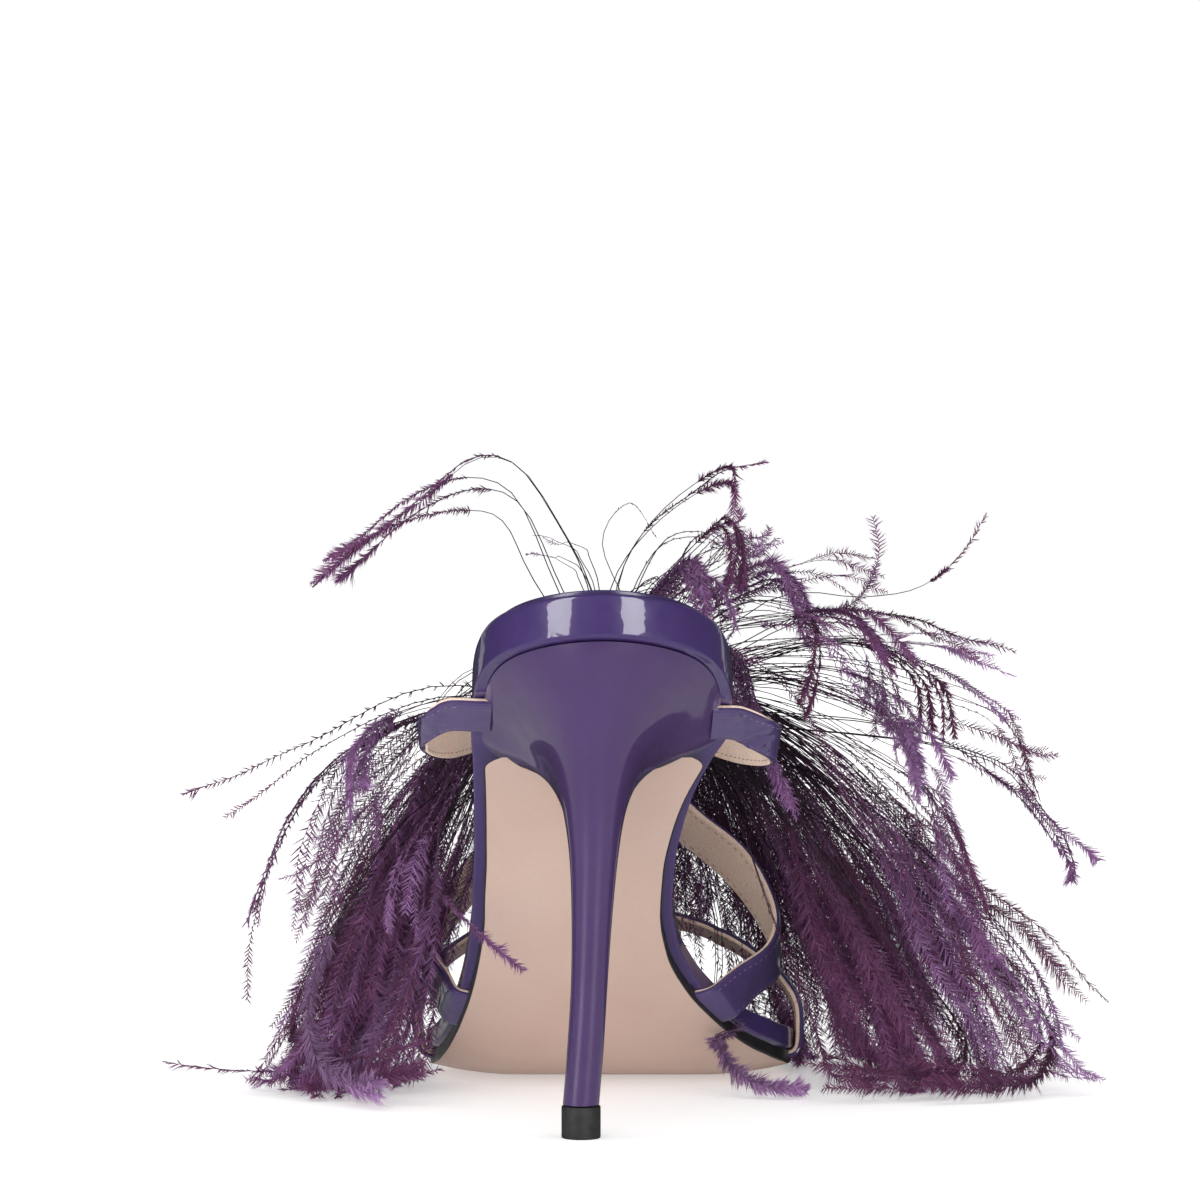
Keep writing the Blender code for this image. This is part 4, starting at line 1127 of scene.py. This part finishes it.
def barb_mesh(paths, spray, tint, across, rng):
    """Fine barbs on both sides of each strand, sparse at first and dense at the tip."""
    n, m = len(paths), spray.barbs
    loose = isinstance(spray, Wisp)
    group = np.arange(m) // BARB_GROUP
    shared = (lambda spread: rng.normal(0, spread, (n, group[-1] + 1))[:, group])
    fan = (0.45 if m < 500 else 0.80) * BARB_GROUP
    order = (group[None] * BARB_GROUP + rng.uniform(0, fan, (n, m))) / m
    if loose:
        few = 0.75 if m <= 420 else 0.35
    else:
        few = 0.07 if m > 400 else 0.26
    bare = spray.bare + rng.uniform(-0.08, 0.10, (n, 1))
    dense = spray.dense + rng.uniform(-0.08, 0.08, (n, 1))
    u = np.where(order < few, bare + (dense - bare) * order / few,
                 dense + (1 - dense) * (order - few) / (1 - few))
    u = np.clip(u, 0.02, 0.999)
    base = read_along(paths, u)
    tangents = unit(read_along(unit(np.gradient(paths, axis=1)), u))
    side = unit(np.cross(tangents, read_along(across, u)))
    other = np.cross(tangents, side)
    twist = rng.uniform(-1.5, 1.5, (n, 1)) * u + rng.uniform(0, pi, (n, 1))
    if loose:
        side, twist = unit(np.cross(tangents, (0.0, 1.0, 0.0))), 0.5 * twist
        other = np.cross(tangents, side)
    turn = twist + pi * (group[None] % 2) + shared(0.32) + rng.normal(0, 0.10, (n, m))
    flank = side * np.cos(turn)[..., None] + other * np.sin(turn)[..., None]
    lean = np.radians(50 + shared(9) + rng.normal(0, 5, (n, m)))
    direction = tangents * np.cos(lean)[..., None] + flank * np.sin(lean)[..., None]
    direction[..., 2] -= 0.10
    direction = unit(direction)
    fluff = np.clip((u - dense) / (1 - dense), 0, 1)
    least = 0.66 if loose else 0.34
    swell = least + (1 - least) * np.clip(fluff * 4, 0, 1)
    swell *= 1 - 0.60 * np.clip((fluff - 0.80) / 0.20, 0, 1)
    clump = 0.80 + 0.20 * np.sin(2 * pi * (u * rng.uniform(4, 12, (n, 1)) + rng.uniform(0, 1, (n, 1))))
    size = rng.uniform(0.7, 1.15, (n, 1))
    length = spray.barb / 1000 * swell * clump * size
    length = length * rng.uniform(0.75, 1.1, (n, m)) * (1 + shared(0.16))
    tips = base + direction * length[..., None]
    tips[..., 2] = np.maximum(tips[..., 2], 0.0003)
    half = LOOSE_BARB_HALF_WIDTH if loose else BARB_HALF_WIDTH
    spread = unit(np.cross(direction, rng.normal(0, 1, (n, m, 3)))) * half
    points = np.stack((base - spread, base + spread, tips), axis=2)
    faces = np.arange(n * m * 3).reshape(-1, 3)
    tone = np.ones((n, m, 3, 4))
    tone[..., 0] = u[..., None]
    shade = tint[:, None] + rng.normal(0, 0.08, (n, m))
    tone[..., 1] = np.clip(shade[..., None] + np.array((0.0, 0.0, 0.12)), 0, 1)
    return points.reshape(-1, 3), faces, tone.reshape(-1, 4)


def make_feathers(name, sprays, wisps, root, outward, material, seed, node):
    """A bunch of strands and its knot as one mesh; seed fixes its random draws."""
    rng = np.random.default_rng(seed)
    points, faces, tones = [], [], []
    base = 0

    def add(part):
        nonlocal base
        points.append(part[0])
        faces.append(part[1] + base)
        tones.append(part[2])
        base += len(part[0])

    for group in (*sprays, *wisps):
        paths = (wisp_paths(group, root, rng) if isinstance(group, Wisp)
                 else spray_paths(group, root, outward, rng))
        tint = np.repeat(rng.beta(1.7, 2.6, -(-group.strands // CLUMP)), CLUMP)[:group.strands]
        if getattr(group, "tint", None):
            tint = 0.3 * tint + 0.7 * group.tint
        *shafts, across = shaft_mesh(paths, tint, rng)
        add(shafts)
        add(barb_mesh(paths, group, tint, across, rng))
    add(knot_mesh(root))
    points, faces, tones = (np.concatenate(rows) for rows in (points, faces, tones))
    mesh = bpy.data.meshes.new(name)
    mesh.vertices.add(len(points))
    mesh.vertices.foreach_set("co", points.astype(np.float32).ravel())
    mesh.loops.add(faces.size)
    mesh.loops.foreach_set("vertex_index", faces.astype(np.int32).ravel())
    mesh.polygons.add(len(faces))
    mesh.polygons.foreach_set("loop_start", np.arange(0, faces.size, 3, dtype=np.int32))
    mesh.update(calc_edges=True)
    layer = mesh.attributes.new("tone", "FLOAT_COLOR", "POINT")
    layer.data.foreach_set("color", tones.astype(np.float32).ravel())
    mesh.materials.append(material)
    body = add_object(name, mesh)
    body.visible_glossy = False
    keep(body, "feather", node)


def knot_mesh(root, rings=12, sides=18):
    """The bound knot that holds a bunch's strands, a small lumpy ball."""
    polar = np.linspace(0.02, pi - 0.02, rings)[:, None]
    turn = np.linspace(0, 2 * pi, sides, endpoint=False)[None]
    lumps = 1 + 0.06 * np.sin(5 * turn + 3 * polar)
    ball = np.stack((np.sin(polar) * np.cos(turn) * lumps, np.sin(polar) * np.sin(turn) * lumps,
                     np.cos(polar) + 0 * turn), axis=-1) * KNOT_RADIUS
    faces = ring_triangles(np.arange(rings * sides).reshape(rings, sides)[::-1])
    tone = np.tile((0.05, 0.2, 0.0, 1.0), (rings * sides, 1))
    return ball.reshape(-1, 3) + root, faces, tone


def strap_crossing():
    """The top of the straps' crossing, the way out of it, across the shoe and uphill."""
    first = np.mean(strap_edges(OUTER_TO_INNER_STRAP, 34), axis=0)
    second = np.mean(strap_edges(INNER_TO_OUTER_STRAP, 34), axis=0)
    i, j = nearest(first, second)
    gap = np.linalg.norm(first[i] - second[j])
    outward = unit(np.cross(first[i + 1] - first[i - 1], second[j + 1] - second[j - 1]))
    inner_side = unit(np.cross(outward, (0.0, -1.0, 1.0)))
    if inner_side[0] < 0:
        inner_side = -inner_side
    uphill = np.cross(inner_side, outward)
    uphill = uphill * (1 if uphill[2] > 0 else -1)
    outward = outward * np.sign(outward[2])
    top = (first[i] + second[j]) / 2 + outward * (gap + STRAP_THICKNESS) / 2
    return top, outward, inner_side, uphill


# Studio

# The photo's camera: its focal length and the photo's width in the photo's pixels, the sensor
# in millimetres and the tilt below level in degrees
PHOTO_FOCAL_PIXELS = 8565
PHOTO_WIDTH_PIXELS = 1200
SENSOR_WIDTH = 36.0
CAMERA_TILT = 2.96
CAMERA_PLACE = (0.004, -1.8, 0.2065)


def reflection_only(name, points, faces, grey):
    """A cloth that only reflections see, like the flags around a product shot."""
    mesh = new_mesh(name, points, faces)
    cloth = Finish(name + "_cloth", Specular_IOR_Level=0.1)
    cloth.color(cloth.ramp(cloth.noise(3.0), (0.3, (grey * 0.8,) * 3), (0.7, (grey,) * 3)))
    mesh.materials.append(cloth.material)
    body = add_object(name, mesh)
    for ray in ("camera", "diffuse", "shadow", "transmission", "volume_scatter"):
        setattr(body, "visible_" + ray, False)


def add_floor():
    corners = [(-0.8, -0.45, 0), (0.8, -0.45, 0), (0.8, 1.8, 0), (-0.8, 1.8, 0)]
    mesh = new_mesh("studio_floor", corners, [(0, 1, 2, 3)])
    mesh.materials.append(floor_paper())
    floor = add_object("studio_floor", mesh)
    floor.visible_glossy = False


def add_flags():
    """A dark box around the shoe and a pale card on the floor, shorter on the inner side."""
    sides = ((-2.4, 2.6), (-2.4, -2.6), (2.4, -2.6), (2.4, 2.6))
    box = [(x, y, z) for z in (-0.5, 2.4) for x, y in sides]
    walls = [(0, 1, 5, 4), (1, 2, 6, 5), (2, 3, 7, 6), (3, 0, 4, 7), (0, 3, 2, 1), (4, 5, 6, 7)]
    reflection_only("dark_flags", box, walls, 0.03)
    edge = ((-0.7, -0.42), (0.7, -0.42), (0.7, 0.12), (0, 0.12), (0, 0.21), (-0.7, 0.21))
    card = [(x, y, -0.001) for x, y in edge]
    reflection_only("floor_card", card, [(0, 1, 2, 3), (0, 3, 4, 5)], 0.34)


def add_sky():
    world = bpy.data.worlds.new("studio_world")
    world.use_nodes = True
    background = world.node_tree.nodes["Background"]
    background.inputs["Color"].default_value = (1.0, 1.0, 1.0, 1.0)
    background.inputs["Strength"].default_value = 1.02
    bpy.context.scene.world = world


def add_light(name, size, power, place, tilt, turn, hidden_from):
    """A soft box; hidden_from names the kind of ray, besides the camera's, that misses it."""
    light = bpy.data.lights.new(name, "AREA")
    light.shape = "RECTANGLE"
    light.size, light.size_y = size
    light.energy = power
    lamp = add_object(name, light)
    lamp.location = place
    lamp.rotation_euler = (radians(tilt), 0, radians(turn))
    lamp.visible_camera = False
    setattr(lamp, "visible_" + hidden_from, False)


def add_lights():
    """Strips that only reflections see, two on the camera's side and two past the toe, and a fill."""
    for name, azimuth, distance, wide, power in (("strip_left", -53, 1.5, 0.70, 27.0),
                                                 ("strip_right", 38, 1.5, 0.70, 27.0),
                                                 ("edge_left", -152, 1.9, 0.22, 0.5),
                                                 ("edge_right", 150, 1.9, 0.22, 0.5)):
        angle = radians(azimuth)
        place = (distance * sin(angle), -distance * cos(angle), 0.60)
        add_light(name, (wide, 1.6), power, place, 90, azimuth, "diffuse")
    add_light("fill", (0.8, 0.8), 9.0, (-0.45, -1.6, 0.35), 82, -15, "glossy")


def add_camera():
    camera = bpy.data.cameras.new("camera")
    camera.sensor_fit = "HORIZONTAL"
    camera.sensor_width = SENSOR_WIDTH
    camera.lens = PHOTO_FOCAL_PIXELS / PHOTO_WIDTH_PIXELS * SENSOR_WIDTH
    camera.clip_end = 100.0
    body = add_object("camera", camera)
    body.location = CAMERA_PLACE
    body.rotation_euler = (radians(90 - CAMERA_TILT), 0, 0)
    bpy.context.scene.camera = body


def make_studio():
    bpy.context.scene.view_settings.view_transform = "Standard"
    add_floor()
    add_flags()
    add_sky()
    add_lights()
    add_camera()


def main():
    skin = patent("patent_purple", linear(60, 41, 97), linear(68, 48, 106))
    heel_skin = patent("heel_patent", linear(66, 43, 92), linear(73, 49, 100), 0.000014, 90.0)
    sock_skin = patent("footbed_patent", linear(57, 39, 93), linear(65, 46, 101), 0.000016, 60.0, 0.24)
    strap_skin = patent("strap_patent", linear(70, 53, 100), linear(82, 64, 113), 0.00009, 240.0)
    lining = lining_leather()
    make_sole(skin, sock_skin, outsole_leather(), edge_paint())
    make_heel(heel_skin, rubber())

    first = Strap(OUTER_TO_INNER_STRAP, OUTER_TO_INNER_CREASES)
    second = Strap(INNER_TO_OUTER_STRAP, INNER_TO_OUTER_CREASES)
    i, j = nearest(first.centres, second.centres)
    first = Strap(OUTER_TO_INNER_STRAP, OUTER_TO_INNER_CREASES, -0.0007, first.s[i])
    second = Strap(INNER_TO_OUTER_STRAP, INNER_TO_OUTER_CREASES, 0.0007, second.s[j])
    toe = Strap(TOE_STRAP, TOE_STRAP_CREASES)
    keep(make_strap("strap_outer_to_inner", first, strap_skin, lining), "patent", "cross_straps")
    keep(make_strap("strap_inner_to_outer", second, strap_skin, lining), "patent", "cross_straps")
    keep(make_strap("toe_band", toe, strap_skin, lining), "patent", "toe_strap")
    straps = (first, second, toe)
    beige = thread("lining_thread", linear(156, 126, 102), linear(196, 166, 140))
    purple = thread("patent_thread", linear(104, 86, 130), linear(158, 138, 180))
    make_stitching("strap_stitching", "strap_lining", straps, -STRAP_THICKNESS / 2, beige)
    make_stitching("strap_top_stitching", "patent", straps, STRAP_THICKNESS / 2 - STITCH_SINK, purple)

    top, outward, inner_side, uphill = strap_crossing()
    seat = top + outward * (CLEARANCE + KNOT_RADIUS)
    crest = seat + (uphill + 0.1 * outward) * 1.74 * KNOT_RADIUS
    outer, inner = seat - inner_side * KNOT_SPACING, seat + inner_side * KNOT_SPACING
    plumage = feather()
    bunches = (("feathers_outer_strands", OUTER_SPRAYS, OUTER_WISPS, outer, 11, "feathers_outer"),
               ("feathers_inner_strands", INNER_SPRAYS, INNER_WISPS, inner, 12, "feathers_inner"),
               ("feathers_inner_high", INNER_HIGH_SPRAYS, INNER_HIGH_WISPS, inner, 13, "feathers_inner"),
               ("feathers_crest_strands", CREST_SPRAYS, CREST_WISPS, crest, 14, "feathers_crest"))
    for name, sprays, wisps, root, seed, node in bunches:
        make_feathers(name, sprays, wisps, root, outward, plumage, seed, node)
    make_studio()


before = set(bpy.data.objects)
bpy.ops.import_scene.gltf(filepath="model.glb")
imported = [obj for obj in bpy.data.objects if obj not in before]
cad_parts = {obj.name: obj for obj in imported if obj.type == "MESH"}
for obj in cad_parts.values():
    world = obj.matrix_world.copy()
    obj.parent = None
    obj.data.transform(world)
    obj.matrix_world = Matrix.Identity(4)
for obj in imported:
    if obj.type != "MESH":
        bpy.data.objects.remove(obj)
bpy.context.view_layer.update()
main()
